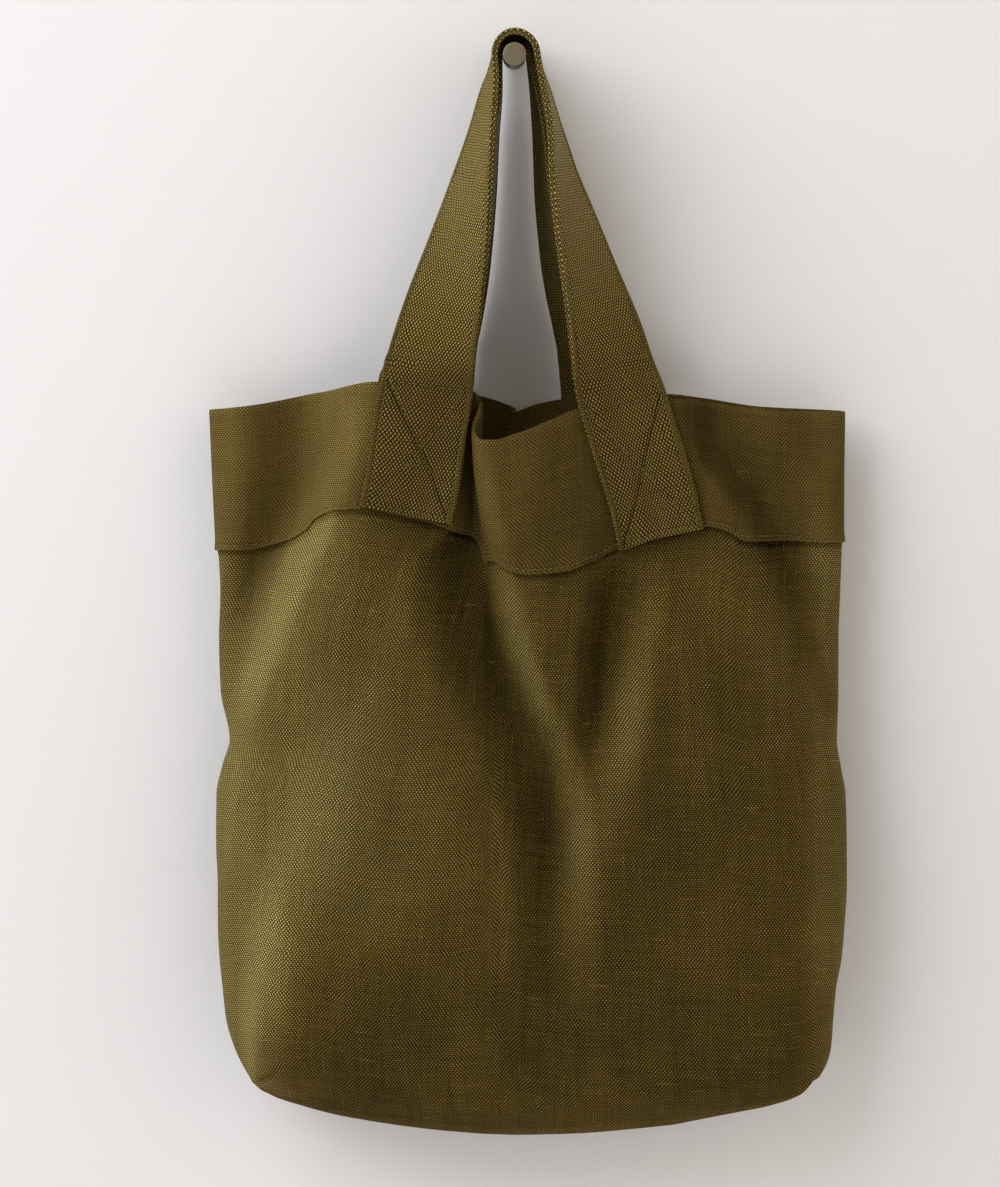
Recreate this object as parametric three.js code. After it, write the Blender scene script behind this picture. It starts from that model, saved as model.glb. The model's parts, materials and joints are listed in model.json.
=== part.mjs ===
import * as THREE from "three";

// Canvas tote bag hung by both handles from a wall peg. Millimetres, X to the right, Y towards
// the wall, Z up. The origin is the centre of the peg's end against the wall, so the whole part
// lies at negative Y.

// Driving dimensions
const bodyCloth = 1.6;
const bandCloth = 1.6;
const strapCloth = 3.8;
const strapWidth = 64;
const seamGap = 0.45;
const patchGap = 1.1;
const pegRadius = 7.55;
const pegLength = 106;
const pegBevel = 0.6;

// How finely the cloth is faceted
const backColumns = 22;
const frontColumns = 2 * backColumns;
const bandRows = 5;
const bodyRows = 28;
const strapSteps = 5;
const legStep = 11;
const archSteps = 10;
const pegSides = 32;

const rowCrowding = 1.2;
const seamSamples = 600;
const slopeStep = 2;

// Least cosine between a crease's faces and its middle direction that still lengthens an offset
const sharpestTurn = 0.4;

// Share of the half width, at each side seam, over which the folds die out
const seamCalm = 0.11;

// Share of the height at which the columns are spread evenly along the cloth
const evenLevel = 0.16;

// Distances from the middle of the body cloth out to the middle of what is sewn on it
const bandOut = bodyCloth / 2 + seamGap + bandCloth / 2;
const patchOut = bandOut + bandCloth / 2 + patchGap + strapCloth / 2;

// Left and right edges of the hung bag, seen from the front
const sides = [
  { z: -234, left: -200.4, right: 217.4 },
  { z: -282, left: -198.6, right: 217 },
  { z: -326, left: -196, right: 216.4 },
  { z: -356, left: -194.6, right: 215.6 },
  { z: -387, left: -195.6, right: 214.6 },
  { z: -422, left: -194.6, right: 214.6 },
  { z: -456, left: -188.6, right: 213.8 },
  { z: -471, left: -193, right: 216 },
  { z: -492, left: -197.6, right: 219.6 },
  { z: -525, left: -198, right: 220.6 },
  { z: -552, left: -197, right: 220.8 },
  { z: -580, left: -197, right: 219.4 },
  { z: -602, left: -196, right: 217.6 },
  { z: -623, left: -194, right: 214 },
  { z: -644, left: -191.8, right: 212.2 },
  { z: -663, left: -186.4, right: 210.4 },
  { z: -674, left: -181.6, right: 207.6 },
  { z: -683, left: -176.6, right: 203 },
  { z: -688, left: -174, right: 201 },
];

// Depths of the bag from rim (down 0) to bottom (down 1): the side seams, the crown of the front
// and of the back, and how squarely each part turns into the side seams
const depths = [
  { down: 0, seam: -37, front: -59, back: -9.6, leftTurn: 2.2, rightTurn: 2.2, backTurn: 4, soft: 0.56 },
  { down: 0.16, seam: -40, front: -64, back: -9.4, leftTurn: 2.2, rightTurn: 2.2, backTurn: 4, soft: 0.55 },
  { down: 0.24, seam: -42, front: -70, back: -8.2, leftTurn: 2.2, rightTurn: 2.2, backTurn: 4, soft: 0.54 },
  { down: 0.4, seam: -46, front: -86, back: -5.6, leftTurn: 2.3, rightTurn: 2.2, backTurn: 4, soft: 0.52 },
  { down: 0.6, seam: -51, front: -102, back: -4.6, leftTurn: 2.6, rightTurn: 2.4, backTurn: 4, soft: 0.5 },
  { down: 0.74, seam: -53, front: -107, back: -4.6, leftTurn: 3, rightTurn: 2.8, backTurn: 4, soft: 0.5 },
  { down: 0.84, seam: -54, front: -105, back: -5.4, leftTurn: 3.4, rightTurn: 3.2, backTurn: 5, soft: 0.5 },
  { down: 0.91, seam: -53, front: -99, back: -8, leftTurn: 4, rightTurn: 4, backTurn: 5, soft: 0.5 },
  { down: 0.96, seam: -51, front: -90, back: -13, leftTurn: 4.5, rightTurn: 4.5, backTurn: 5, soft: 0.5 },
  { down: 1, seam: -48, front: -74, back: -26, leftTurn: 5, rightTurn: 5, backTurn: 5, soft: 0.5 },
];

// Upper edge of the front: level at the corners, lifted by the handles, drooping between them
const frontRim = [
  { x: -203, z: -234 },
  { x: -168, z: -231 },
  { x: -128, z: -222 },
  { x: -90, z: -214 },
  { x: -57, z: -216.5 },
  { x: -33, z: -221 },
  { x: -24, z: -246 },
  { x: -16, z: -251 },
  { x: -6, z: -249 },
  { x: 8, z: -245 },
  { x: 23, z: -238 },
  { x: 42, z: -231 },
  { x: 73, z: -227.5 },
  { x: 105, z: -225.5 },
  { x: 145, z: -231 },
  { x: 178, z: -234 },
  { x: 220, z: -235 },
];

const backRim = [
  { x: -203, z: -234 },
  { x: -165, z: -232 },
  { x: -125, z: -226 },
  { x: -92, z: -222 },
  { x: -60, z: -223 },
  { x: -28, z: -227 },
  { x: 2, z: -236 },
  { x: 21, z: -232 },
  { x: 42, z: -227 },
  { x: 102, z: -224.5 },
  { x: 125, z: -227 },
  { x: 167, z: -233 },
  { x: 220, z: -235 },
];

// Lower edge of the top band
const frontBandEdge = [
  { x: -199, z: -328 },
  { x: -176, z: -326.5 },
  { x: -151, z: -322 },
  { x: -137, z: -314 },
  { x: -130, z: -306 },
  { x: -116, z: -299 },
  { x: -102, z: -297.5 },
  { x: -70, z: -304 },
  { x: -40, z: -313 },
  { x: -26, z: -319 },
  { x: -9, z: -334 },
  { x: 6, z: -341 },
  { x: 31, z: -339 },
  { x: 52, z: -331 },
  { x: 67, z: -324 },
  { x: 98, z: -316 },
  { x: 128, z: -309.5 },
  { x: 140, z: -312.5 },
  { x: 152, z: -319.5 },
  { x: 184, z: -322 },
  { x: 220, z: -322.5 },
];

const backBandEdge = [
  { x: -199, z: -328 },
  { x: -100, z: -318 },
  { x: 0, z: -328 },
  { x: 110, z: -317 },
  { x: 220, z: -322.5 },
];

// Bottom of the bag, sagging between its corners
const bottomEdge = [
  { x: -175, z: -686 },
  { x: -158, z: -691 },
  { x: -144, z: -695 },
  { x: -115, z: -703 },
  { x: -81, z: -709 },
  { x: -46, z: -713 },
  { x: 3, z: -716 },
  { x: 33, z: -715.6 },
  { x: 99, z: -711 },
  { x: 150, z: -700.6 },
  { x: 178, z: -694.4 },
  { x: 194, z: -688.6 },
  { x: 202, z: -682 },
];

// Folds of the front, each a run of rows from the top down: where its line lies, how far it stands
// out (or, negative, is sunk) and how far it reaches to either side
const frontFolds = {
  leftTrough: [
    { z: -200, x: -142, rise: -18, left: 50, right: 38 },
    { z: -253, x: -141, rise: -19, left: 48, right: 38 },
    { z: -306, x: -150, rise: -18, left: 42, right: 36 },
    { z: -359, x: -175, rise: -11, left: 34, right: 30 },
    { z: -400, x: -189, rise: -5, left: 26, right: 26 },
    { z: -440, x: -196, rise: 0, left: 26, right: 26 },
  ],
  leftRidge: [
    { z: -200, x: -86, rise: 6, left: 26, right: 60 },
    { z: -246, x: -97, rise: 10, left: 27, right: 60 },
    { z: -285, x: -115, rise: 13, left: 30, right: 62 },
    { z: -335, x: -138, rise: 15, left: 32, right: 66 },
    { z: -388, x: -160, rise: 15, left: 30, right: 70 },
    { z: -425, x: -172, rise: 11, left: 26, right: 70 },
    { z: -470, x: -180, rise: 3, left: 24, right: 60 },
    { z: -500, x: -182, rise: 0, left: 24, right: 50 },
  ],
  wedge: [
    { z: -200, x: -6, rise: 22, left: 22, right: 112 },
    { z: -250, x: -4, rise: 22, left: 24, right: 112 },
    { z: -300, x: 1, rise: 20, left: 30, right: 100 },
    { z: -340, x: 10, rise: 14, left: 34, right: 70 },
    { z: -390, x: 21, rise: 7, left: 32, right: 40 },
    { z: -455, x: 24, rise: 0, left: 28, right: 30 },
  ],
  leftValley: [
    { z: -200, x: -29, rise: -6, left: 10, right: 12 },
    { z: -250, x: -28.5, rise: -10, left: 10, right: 14 },
    { z: -305, x: -25, rise: -15, left: 16, right: 20 },
    { z: -335, x: -23, rise: -20, left: 46, right: 26 },
    { z: -360, x: -19, rise: -23, left: 56, right: 30 },
    { z: -393, x: -9, rise: -23, left: 58, right: 32 },
    { z: -427, x: 5, rise: -22, left: 56, right: 36 },
    { z: -460, x: 18, rise: -21, left: 52, right: 44 },
    { z: -510, x: 23, rise: -16, left: 48, right: 46 },
    { z: -560, x: 25, rise: -9, left: 42, right: 42 },
    { z: -610, x: 26, rise: 0, left: 36, right: 40 },
  ],
  rightValley: [
    { z: -306, x: 63, rise: 0, left: 26, right: 30 },
    { z: -330, x: 66, rise: -4, left: 30, right: 30 },
    { z: -360, x: 62, rise: -16, left: 30, right: 36 },
    { z: -393, x: 54, rise: -18, left: 28, right: 40 },
    { z: -427, x: 45, rise: -14, left: 26, right: 44 },
    { z: -465, x: 33, rise: 0, left: 24, right: 40 },
  ],
  rightRidge: [
    { z: -200, x: 100, rise: 5, left: 50, right: 22 },
    { z: -240, x: 108, rise: 8, left: 50, right: 22 },
    { z: -308, x: 135, rise: 11, left: 52, right: 24 },
    { z: -368, x: 166, rise: 12, left: 52, right: 24 },
    { z: -418, x: 196, rise: 7, left: 46, right: 18 },
    { z: -450, x: 208, rise: 0, left: 40, right: 12 },
  ],
  rightTrough: [
    { z: -200, x: 134, rise: -15, left: 28, right: 56 },
    { z: -250, x: 138, rise: -16, left: 28, right: 54 },
    { z: -308, x: 166, rise: -17, left: 30, right: 40 },
    { z: -360, x: 194, rise: -9, left: 26, right: 24 },
    { z: -415, x: 210, rise: 0, left: 22, right: 20 },
  ],
  cornerRidge: [
    { z: -450, x: -118, rise: 0, left: 36, right: 50 },
    { z: -495, x: -124, rise: 5, left: 38, right: 56 },
    { z: -562, x: -139, rise: 9, left: 36, right: 60 },
    { z: -628, x: -153, rise: 9, left: 30, right: 60 },
    { z: -668, x: -163, rise: 6, left: 20, right: 50 },
    { z: -700, x: -168, rise: 0, left: 16, right: 40 },
  ],
};

// The back is pressed by the wall, so only its middle and its sides fold, inwards
const backFolds = {
  middle: [
    { z: -200, x: 3, rise: -7, left: 34, right: 34 },
    { z: -330, x: 6, rise: -10, left: 60, right: 60 },
    { z: -450, x: 14, rise: -6, left: 60, right: 60 },
    { z: -560, x: 18, rise: 0, left: 50, right: 50 },
  ],
};

// Middle line of each handle leg from the peg down to its end on the bag: place, turn about the
// vertical (0 with its width along the peg, 90 flat on the bag), and how far it is sewn to the band
const frontLeftLeg = [
  { z: 0, x: -14.1, y: -68, turn: 0, sewn: 0 },
  { z: -20, x: -17.8, y: -68, turn: 2, sewn: 0 },
  { z: -50, x: -23.4, y: -68, turn: 10.5, sewn: 0 },
  { z: -87, x: -30, y: -68, turn: 23, sewn: 0 },
  { z: -126, x: -38.3, y: -68, turn: 36, sewn: 0 },
  { z: -164, x: -47.6, y: -68, turn: 49.5, sewn: 0 },
  { z: -196, x: -53.4, y: -67.6, turn: 62, sewn: 0 },
  { z: -213, x: -56.6, y: -67.4, turn: 77, sewn: 0.7 },
  { z: -222, x: -58.2, y: -67.4, turn: 88, sewn: 1 },
  { z: -240, x: -61.6, y: -67.4, turn: 90, sewn: 1 },
  { z: -303, x: -69.6, y: -70, turn: 90, sewn: 1 },
];

const frontRightLeg = [
  { z: 0, x: 14.7, y: -68, turn: 0, sewn: 0 },
  { z: -8, x: 16.4, y: -68, turn: 0.5, sewn: 0 },
  { z: -36, x: 22.8, y: -68, turn: 3.5, sewn: 0 },
  { z: -75, x: 31.5, y: -68.5, turn: 14, sewn: 0 },
  { z: -107, x: 39.8, y: -69, turn: 25, sewn: 0 },
  { z: -145, x: 49.8, y: -69.5, turn: 35.5, sewn: 0 },
  { z: -180, x: 58.4, y: -70, turn: 45.5, sewn: 0 },
  { z: -203, x: 63.6, y: -70.5, turn: 53, sewn: 0 },
  { z: -216, x: 66.8, y: -71, turn: 62, sewn: 0.7 },
  { z: -226, x: 70.2, y: -71, turn: 68, sewn: 1 },
  { z: -279, x: 85.6, y: -71, turn: 74, sewn: 1 },
  { z: -312, x: 95, y: -71, turn: 76, sewn: 1 },
];

const backLeftLeg = [
  { z: 0, x: -9.9, y: -40, turn: 0, sewn: 0 },
  { z: -20, x: -10.9, y: -39.5, turn: 1, sewn: 0 },
  { z: -50, x: -12.9, y: -38, turn: 3, sewn: 0 },
  { z: -90, x: -19, y: -37, turn: 8, sewn: 0 },
  { z: -130, x: -25.4, y: -36, turn: 15, sewn: 0 },
  { z: -165, x: -35, y: -32, turn: 27, sewn: 0 },
  { z: -180, x: -42, y: -29, turn: 38, sewn: 0 },
  { z: -195, x: -51, y: -23, turn: 55, sewn: 0 },
  { z: -208, x: -57.2, y: -14, turn: 74, sewn: 0 },
  { z: -219, x: -59.4, y: -5.6, turn: 88, sewn: 0.5 },
  { z: -227, x: -60.2, y: -4, turn: 90, sewn: 1 },
  { z: -306, x: -70, y: -4, turn: 90, sewn: 1 },
];

const backRightLeg = [
  { z: 0, x: 10.1, y: -40, turn: 0, sewn: 0 },
  { z: -20, x: 12.6, y: -39.5, turn: 1, sewn: 0 },
  { z: -50, x: 15.4, y: -38, turn: 3, sewn: 0 },
  { z: -90, x: 20, y: -37, turn: 8, sewn: 0 },
  { z: -130, x: 27.6, y: -36, turn: 16, sewn: 0 },
  { z: -165, x: 38.4, y: -32, turn: 27, sewn: 0 },
  { z: -180, x: 45.8, y: -29, turn: 38, sewn: 0 },
  { z: -195, x: 54.6, y: -23, turn: 55, sewn: 0 },
  { z: -208, x: 60.8, y: -14, turn: 74, sewn: 0 },
  { z: -219, x: 63.8, y: -5.6, turn: 88, sewn: 0.5 },
  { z: -227, x: 65.4, y: -4, turn: 90, sewn: 1 },
  { z: -310, x: 84, y: -4, turn: 90, sewn: 1 },
];

// Height of each handle's middle line over the peg's axis
const frontArch = 15;
const backArch = 9.9;

// Smooth curve through one column of a table, without overshoot between its rows
function readAt(rows, key, at, column) {
  const sign = rows[rows.length - 1][key] > rows[0][key] ? 1 : -1;
  const place = sign * at;
  const last = rows.length - 1;
  if (place <= sign * rows[0][key]) return rows[0][column];
  if (place >= sign * rows[last][key]) return rows[last][column];
  let i = 0;
  while (sign * rows[i + 1][key] < place) i += 1;
  const span = (k) => sign * (rows[k + 1][key] - rows[k][key]);
  const slope = (k) => (rows[k + 1][column] - rows[k][column]) / span(k);
  const bend = (k) => {
    if (k === 0) return slope(0);
    if (k === last) return slope(last - 1);
    const before = slope(k - 1);
    const after = slope(k);
    if (before * after <= 0) return 0;
    const w1 = 2 * span(k) + span(k - 1);
    const w2 = span(k) + 2 * span(k - 1);
    return (w1 + w2) / (w1 / before + w2 / after);
  };
  const h = span(i);
  const t = (place - sign * rows[i][key]) / h;
  const a = rows[i][column];
  const b = rows[i + 1][column];
  const rest = 1 - t;
  const start = rest * rest * (1 + 2 * t) * a + rest * rest * t * h * bend(i);
  const end = t * t * (3 - 2 * t) * b - t * t * rest * h * bend(i + 1);
  return start + end;
}

function mix(a, b, share) {
  return a + (b - a) * share;
}

function foldRise(fold, x, z) {
  if (z > fold[0].z || z < fold[fold.length - 1].z) return 0;
  const line = readAt(fold, "z", z, "x");
  const reach = readAt(fold, "z", z, x < line ? "left" : "right");
  const t = (x - line) / reach;
  if (Math.abs(t) >= 1) return 0;
  return readAt(fold, "z", z, "rise") * (0.5 + 0.5 * Math.cos(Math.PI * t));
}

// Depth (Y) of the middle of the body cloth at a share of the width (across -1 to 1), a share of
// the height (down) and the true place of that point
function clothDepth(isBack, across, down, x, z, folds) {
  const seam = readAt(depths, "down", down, "seam");
  const crown = readAt(depths, "down", down, isBack ? "back" : "front");
  const side = across < 0 ? "leftTurn" : "rightTurn";
  const turn = readAt(depths, "down", down, isBack ? "backTurn" : side);
  const soft = readAt(depths, "down", down, "soft");
  const swell = Math.pow(Math.max(0, 1 - Math.pow(Math.abs(across), turn)), soft);
  const nearSeam = Math.min(1, (1 - Math.abs(across)) / seamCalm);
  const outward = isBack ? 1 : -1;
  let rise = 0;
  for (const fold of Object.values(folds)) rise += foldRise(fold, x, z);
  return mix(seam, crown, swell) + outward * nearSeam * rise;
}

function edgeHeights(isBack, x) {
  return {
    top: readAt(isBack ? backRim : frontRim, "x", x, "z"),
    bottom: readAt(bottomEdge, "x", x, "z"),
    band: readAt(isBack ? backBandEdge : frontBandEdge, "x", x, "z"),
  };
}

// Left and right edges at a share of the height
function sideEdges(down) {
  const leftZ = mix(sides[0].z, bottomEdge[0].z, down);
  const rightZ = mix(frontRim[frontRim.length - 1].z, bottomEdge[bottomEdge.length - 1].z, down);
  return {
    left: readAt(sides, "z", leftZ, "left"),
    right: readAt(sides, "z", rightZ, "right"),
  };
}

// Point of the body cloth's middle at a share across and down
function clothPoint(isBack, across, down) {
  const edges = sideEdges(down);
  const x = mix(edges.left, edges.right, (across + 1) / 2);
  const heights = edgeHeights(isBack, x);
  const z = mix(heights.top, heights.bottom, down);
  return new THREE.Vector3(x, clothDepth(isBack, across, down, x, z, isBack ? backFolds : frontFolds), z);
}

// A place above the cloth, found by its place in the front view. A stiff strap lies over the narrow
// valley beside it without sinking in.
function clothAbove(isBack, x, z, out) {
  const { leftValley, ...broadFolds } = frontFolds;
  const folds = isBack ? backFolds : broadFolds;
  const depthAt = (px, pz) => {
    const heights = edgeHeights(isBack, px);
    const down = (heights.top - pz) / (heights.top - heights.bottom);
    const edges = sideEdges(down);
    const across = (2 * (px - edges.left)) / (edges.right - edges.left) - 1;
    return clothDepth(isBack, across, down, px, pz, folds);
  };
  const slopeX = (depthAt(x + slopeStep, z) - depthAt(x - slopeStep, z)) / (2 * slopeStep);
  const slopeZ = (depthAt(x, z + slopeStep) - depthAt(x, z - slopeStep)) / (2 * slopeStep);
  const normal = new THREE.Vector3(-slopeX, 1, -slopeZ).normalize();
  if (!isBack) normal.negate();
  return new THREE.Vector3(x, depthAt(x, z), z).addScaledVector(normal, out);
}

// Shares across the front that are evenly spread along the cloth
function evenColumns() {
  const shares = [];
  const lengths = [0];
  for (let i = 0; i <= seamSamples; i += 1) shares.push(Math.sin(Math.PI * (i / seamSamples - 0.5)));
  let before = clothPoint(false, shares[0], evenLevel);
  for (let i = 1; i <= seamSamples; i += 1) {
    const point = clothPoint(false, shares[i], evenLevel);
    lengths.push(lengths[i - 1] + point.distanceTo(before));
    before = point;
  }
  const columns = [];
  let k = 0;
  for (let c = 0; c <= frontColumns; c += 1) {
    const wanted = (lengths[seamSamples] * c) / frontColumns;
    while (k < seamSamples - 1 && lengths[k + 1] < wanted) k += 1;
    const share = (wanted - lengths[k]) / (lengths[k + 1] - lengths[k]);
    columns.push(mix(shares[k], shares[k + 1], share));
  }
  return columns;
}

// Rings of points around the bag, each from the left seam along the front to the right seam and
// back along the wall side. The first rows end at the band's lower edge.
function clothRings() {
  const columns = evenColumns();
  const around = columns.map((across) => ({ isBack: false, across }));
  for (let k = 1; k < backColumns; k += 1) {
    around.push({ isBack: true, across: columns[frontColumns - 2 * k] });
  }
  const levels = around.map(({ isBack, across }) => {
    const guess = clothPoint(isBack, across, evenLevel);
    const heights = edgeHeights(isBack, guess.x);
    return (heights.top - heights.band) / (heights.top - heights.bottom);
  });
  const rings = [];
  for (let row = 0; row <= bodyRows; row += 1) {
    rings.push(around.map(({ isBack, across }, c) => {
      const rest = Math.max(0, (row - bandRows) / (bodyRows - bandRows));
      const below = 1 - Math.pow(1 - rest, rowCrowding);
      const down = row <= bandRows ? (levels[c] * row) / bandRows : mix(levels[c], 1, below);
      return clothPoint(isBack, across, down);
    }));
  }
  return rings;
}

// The ring point straight behind or in front of another, on the other side of the bag
function oppositePoint(ring, c) {
  if (c > frontColumns) return ring[frontColumns - 2 * (c - frontColumns)];
  const behind = frontColumns + Math.round((frontColumns - c) / 2);
  return ring[behind % ring.length];
}

// Outward directions at every ring point, lengthened where the cloth turns sharply
function ringNormals(rings) {
  const count = rings[0].length;
  return rings.map((ring, row) => ring.map((point, c) => {
    const above = row > 0 ? rings[row - 1][c] : point;
    const down = new THREE.Vector3();
    if (row < rings.length - 1) {
      down.subVectors(rings[row + 1][c], above);
    } else {
      down.subVectors(point, above).normalize();
      const inward = new THREE.Vector3().subVectors(oppositePoint(ring, c), point);
      if (inward.length() > bodyCloth) down.add(inward.normalize());
    }
    const ahead = new THREE.Vector3().subVectors(ring[(c + 1) % count], point);
    const behind = new THREE.Vector3().subVectors(point, ring[(c + count - 1) % count]);
    const facing = new THREE.Vector3().crossVectors(down, ahead).normalize();
    const normal = new THREE.Vector3().crossVectors(down, behind).normalize();
    normal.add(facing).normalize();
    return normal.divideScalar(Math.max(sharpestTurn, normal.dot(facing)));
  }));
}

class MeshMaker {
  constructor() {
    this.positions = [];
    this.faces = [];
  }

  point(p) {
    this.positions.push(p.x, p.y, p.z);
    return this.positions.length / 3 - 1;
  }

  triangle(a, b, c) {
    if (a !== b && b !== c && a !== c) this.faces.push(a, b, c);
  }

  quad(a, b, c, d) {
    this.triangle(a, b, c);
    this.triangle(a, c, d);
  }

  geometry() {
    const geometry = new THREE.BufferGeometry();
    geometry.setAttribute("position", new THREE.Float32BufferAttribute(this.positions, 3));
    geometry.setIndex(this.faces);
    geometry.computeVertexNormals();
    return geometry;
  }
}

// A tube of cloth around the rings, between two distances from their points
function wrapCloth(rings, normals, inside, outside, hasBottom) {
  const maker = new MeshMaker();
  const count = rings[0].length;
  const lay = (out) => rings.map((ring, row) => ring.map((point, c) => {
    return maker.point(point.clone().addScaledVector(normals[row][c], out));
  }));
  const outer = lay(outside);
  const inner = lay(inside);
  const end = rings.length - 1;
  for (let c = 0; c < count; c += 1) {
    const n = (c + 1) % count;
    for (let row = 0; row < end; row += 1) {
      maker.quad(outer[row][c], outer[row + 1][c], outer[row + 1][n], outer[row][n]);
      maker.quad(inner[row][c], inner[row][n], inner[row + 1][n], inner[row + 1][c]);
    }
    maker.quad(outer[0][c], outer[0][n], inner[0][n], inner[0][c]);
    if (!hasBottom) maker.quad(inner[end][c], inner[end][n], outer[end][n], outer[end][c]);
  }
  if (hasBottom) {
    for (let k = 0; k < backColumns; k += 1) {
      const right = frontColumns - 2 * k;
      const backRight = frontColumns + k;
      const backLeft = k === backColumns - 1 ? 0 : frontColumns + k + 1;
      const strip = [
        [right, right - 1, backRight],
        [right - 1, backLeft, backRight],
        [right - 1, right - 2, backLeft],
      ];
      for (const [a, b, c] of strip) {
        maker.triangle(outer[end][a], outer[end][b], outer[end][c]);
        maker.triangle(inner[end][a], inner[end][c], inner[end][b]);
      }
    }
  }
  return maker.geometry();
}

// Middle line of a whole handle, from one sewn end over the peg to the other
function handlePath(leftLeg, rightLeg, arch) {
  const stations = [];
  const addLeg = (leg, side, upwards) => {
    const length = leg[0].z - leg[leg.length - 1].z;
    const steps = Math.round(length / legStep);
    for (let i = 0; i <= steps; i += 1) {
      const z = upwards ? mix(-length, 0, i / steps) : mix(0, -length, i / steps);
      const turn = (readAt(leg, "z", z, "turn") * Math.PI) / 180;
      const y = readAt(leg, "z", z, "y");
      const centre = new THREE.Vector3(readAt(leg, "z", z, "x"), y, z);
      stations.push({ centre, side, turn, sewn: readAt(leg, "z", z, "sewn") });
    }
  };
  addLeg(leftLeg, 1, true);
  for (let i = 1; i < archSteps; i += 1) {
    const angle = Math.PI * (1 - i / archSteps);
    const reach = Math.cos(angle) < 0 ? -leftLeg[0].x : rightLeg[0].x;
    const centre = new THREE.Vector3(reach * Math.cos(angle), leftLeg[0].y, arch * Math.sin(angle));
    stations.push({ centre, side: 0, turn: 0, sewn: 0 });
  }
  addLeg(rightLeg, -1, false);
  return stations;
}

// A strap along a path: its width turns about the path, and its sewn ends follow the band's cloth
function strapGeometry(stations, isBack) {
  const maker = new MeshMaker();
  const facing = isBack ? 1 : -1;
  const half = strapWidth / 2;
  const rings = stations.map((station, i) => {
    const before = stations[Math.max(0, i - 1)].centre;
    const after = stations[Math.min(stations.length - 1, i + 1)].centre;
    const along = new THREE.Vector3().subVectors(after, before).normalize();
    const flat = new THREE.Vector2(after.x - before.x, after.z - before.z).normalize();
    const width = new THREE.Vector3(
      station.side * Math.sin(station.turn),
      facing * Math.cos(station.turn),
      0,
    );
    width.addScaledVector(along, -width.dot(along)).normalize();
    const normal = new THREE.Vector3().crossVectors(width, along).multiplyScalar(-facing);
    const place = (share, lift) => {
      const free = station.centre.clone().addScaledVector(width, share * half);
      free.addScaledVector(normal, lift);
      if (station.sewn === 0) return free;
      const x = station.centre.x + share * half * flat.y;
      const z = station.centre.z - share * half * flat.x;
      return free.lerp(clothAbove(isBack, x, z, patchOut + lift), station.sewn);
    };
    const ring = [];
    for (let k = 0; k <= strapSteps; k += 1) ring.push(place(1 - (2 * k) / strapSteps, strapCloth / 2));
    for (let k = strapSteps; k >= 0; k -= 1) ring.push(place(1 - (2 * k) / strapSteps, -strapCloth / 2));
    return ring.map((point) => maker.point(point));
  });
  const quad = (a, b, c, d) => (isBack ? maker.quad(d, c, b, a) : maker.quad(a, b, c, d));
  const count = rings[0].length;
  for (let i = 0; i < rings.length - 1; i += 1) {
    for (let k = 0; k < count; k += 1) {
      const n = (k + 1) % count;
      quad(rings[i][k], rings[i + 1][k], rings[i + 1][n], rings[i][n]);
    }
  }
  const first = rings[0];
  const last = rings[rings.length - 1];
  for (let k = 0; k < strapSteps; k += 1) {
    quad(first[k], first[k + 1], first[count - 2 - k], first[count - 1 - k]);
    quad(last[count - 1 - k], last[count - 2 - k], last[k + 1], last[k]);
  }
  return maker.geometry();
}

// A plain round peg, its tip softly bevelled
function pegGeometry() {
  const profile = [
    new THREE.Vector2(0, -pegLength),
    new THREE.Vector2(pegRadius - pegBevel, -pegLength),
    new THREE.Vector2(pegRadius, pegBevel - pegLength),
    new THREE.Vector2(pegRadius, 0),
    new THREE.Vector2(0, 0),
  ];
  return new THREE.LatheGeometry(profile, pegSides);
}

const canvas = new THREE.MeshStandardMaterial({ color: 0x6e6335, roughness: 0.92, metalness: 0 });
const heavyCanvas = new THREE.MeshStandardMaterial({ color: 0x756a3c, roughness: 0.9, metalness: 0 });
const pegFinish = new THREE.MeshStandardMaterial({ color: 0x8b8276, roughness: 0.5, metalness: 0.3 });

const rings = clothRings();
const normals = ringNormals(rings);
const bandRings = rings.slice(0, bandRows + 1);
const bodyHalf = bodyCloth / 2;
const bandHalf = bandCloth / 2;
const bag = new THREE.Group();

function addPiece(name, geometry, material) {
  const piece = new THREE.Mesh(geometry, material);
  piece.name = name;
  bag.add(piece);
}

addPiece("wall_peg", pegGeometry(), pegFinish);
addPiece("bag_body", wrapCloth(rings, normals, -bodyHalf, bodyHalf, true), canvas);
addPiece("top_band", wrapCloth(bandRings, normals, bandOut - bandHalf, bandOut + bandHalf, false), canvas);
const frontPath = handlePath(frontLeftLeg, frontRightLeg, frontArch);
addPiece("front_handle", strapGeometry(frontPath, false), heavyCanvas);
const backPath = handlePath(backLeftLeg, backRightLeg, backArch);
addPiece("back_handle", strapGeometry(backPath, true), heavyCanvas);

export default bag;
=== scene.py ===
import json
import math

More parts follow.
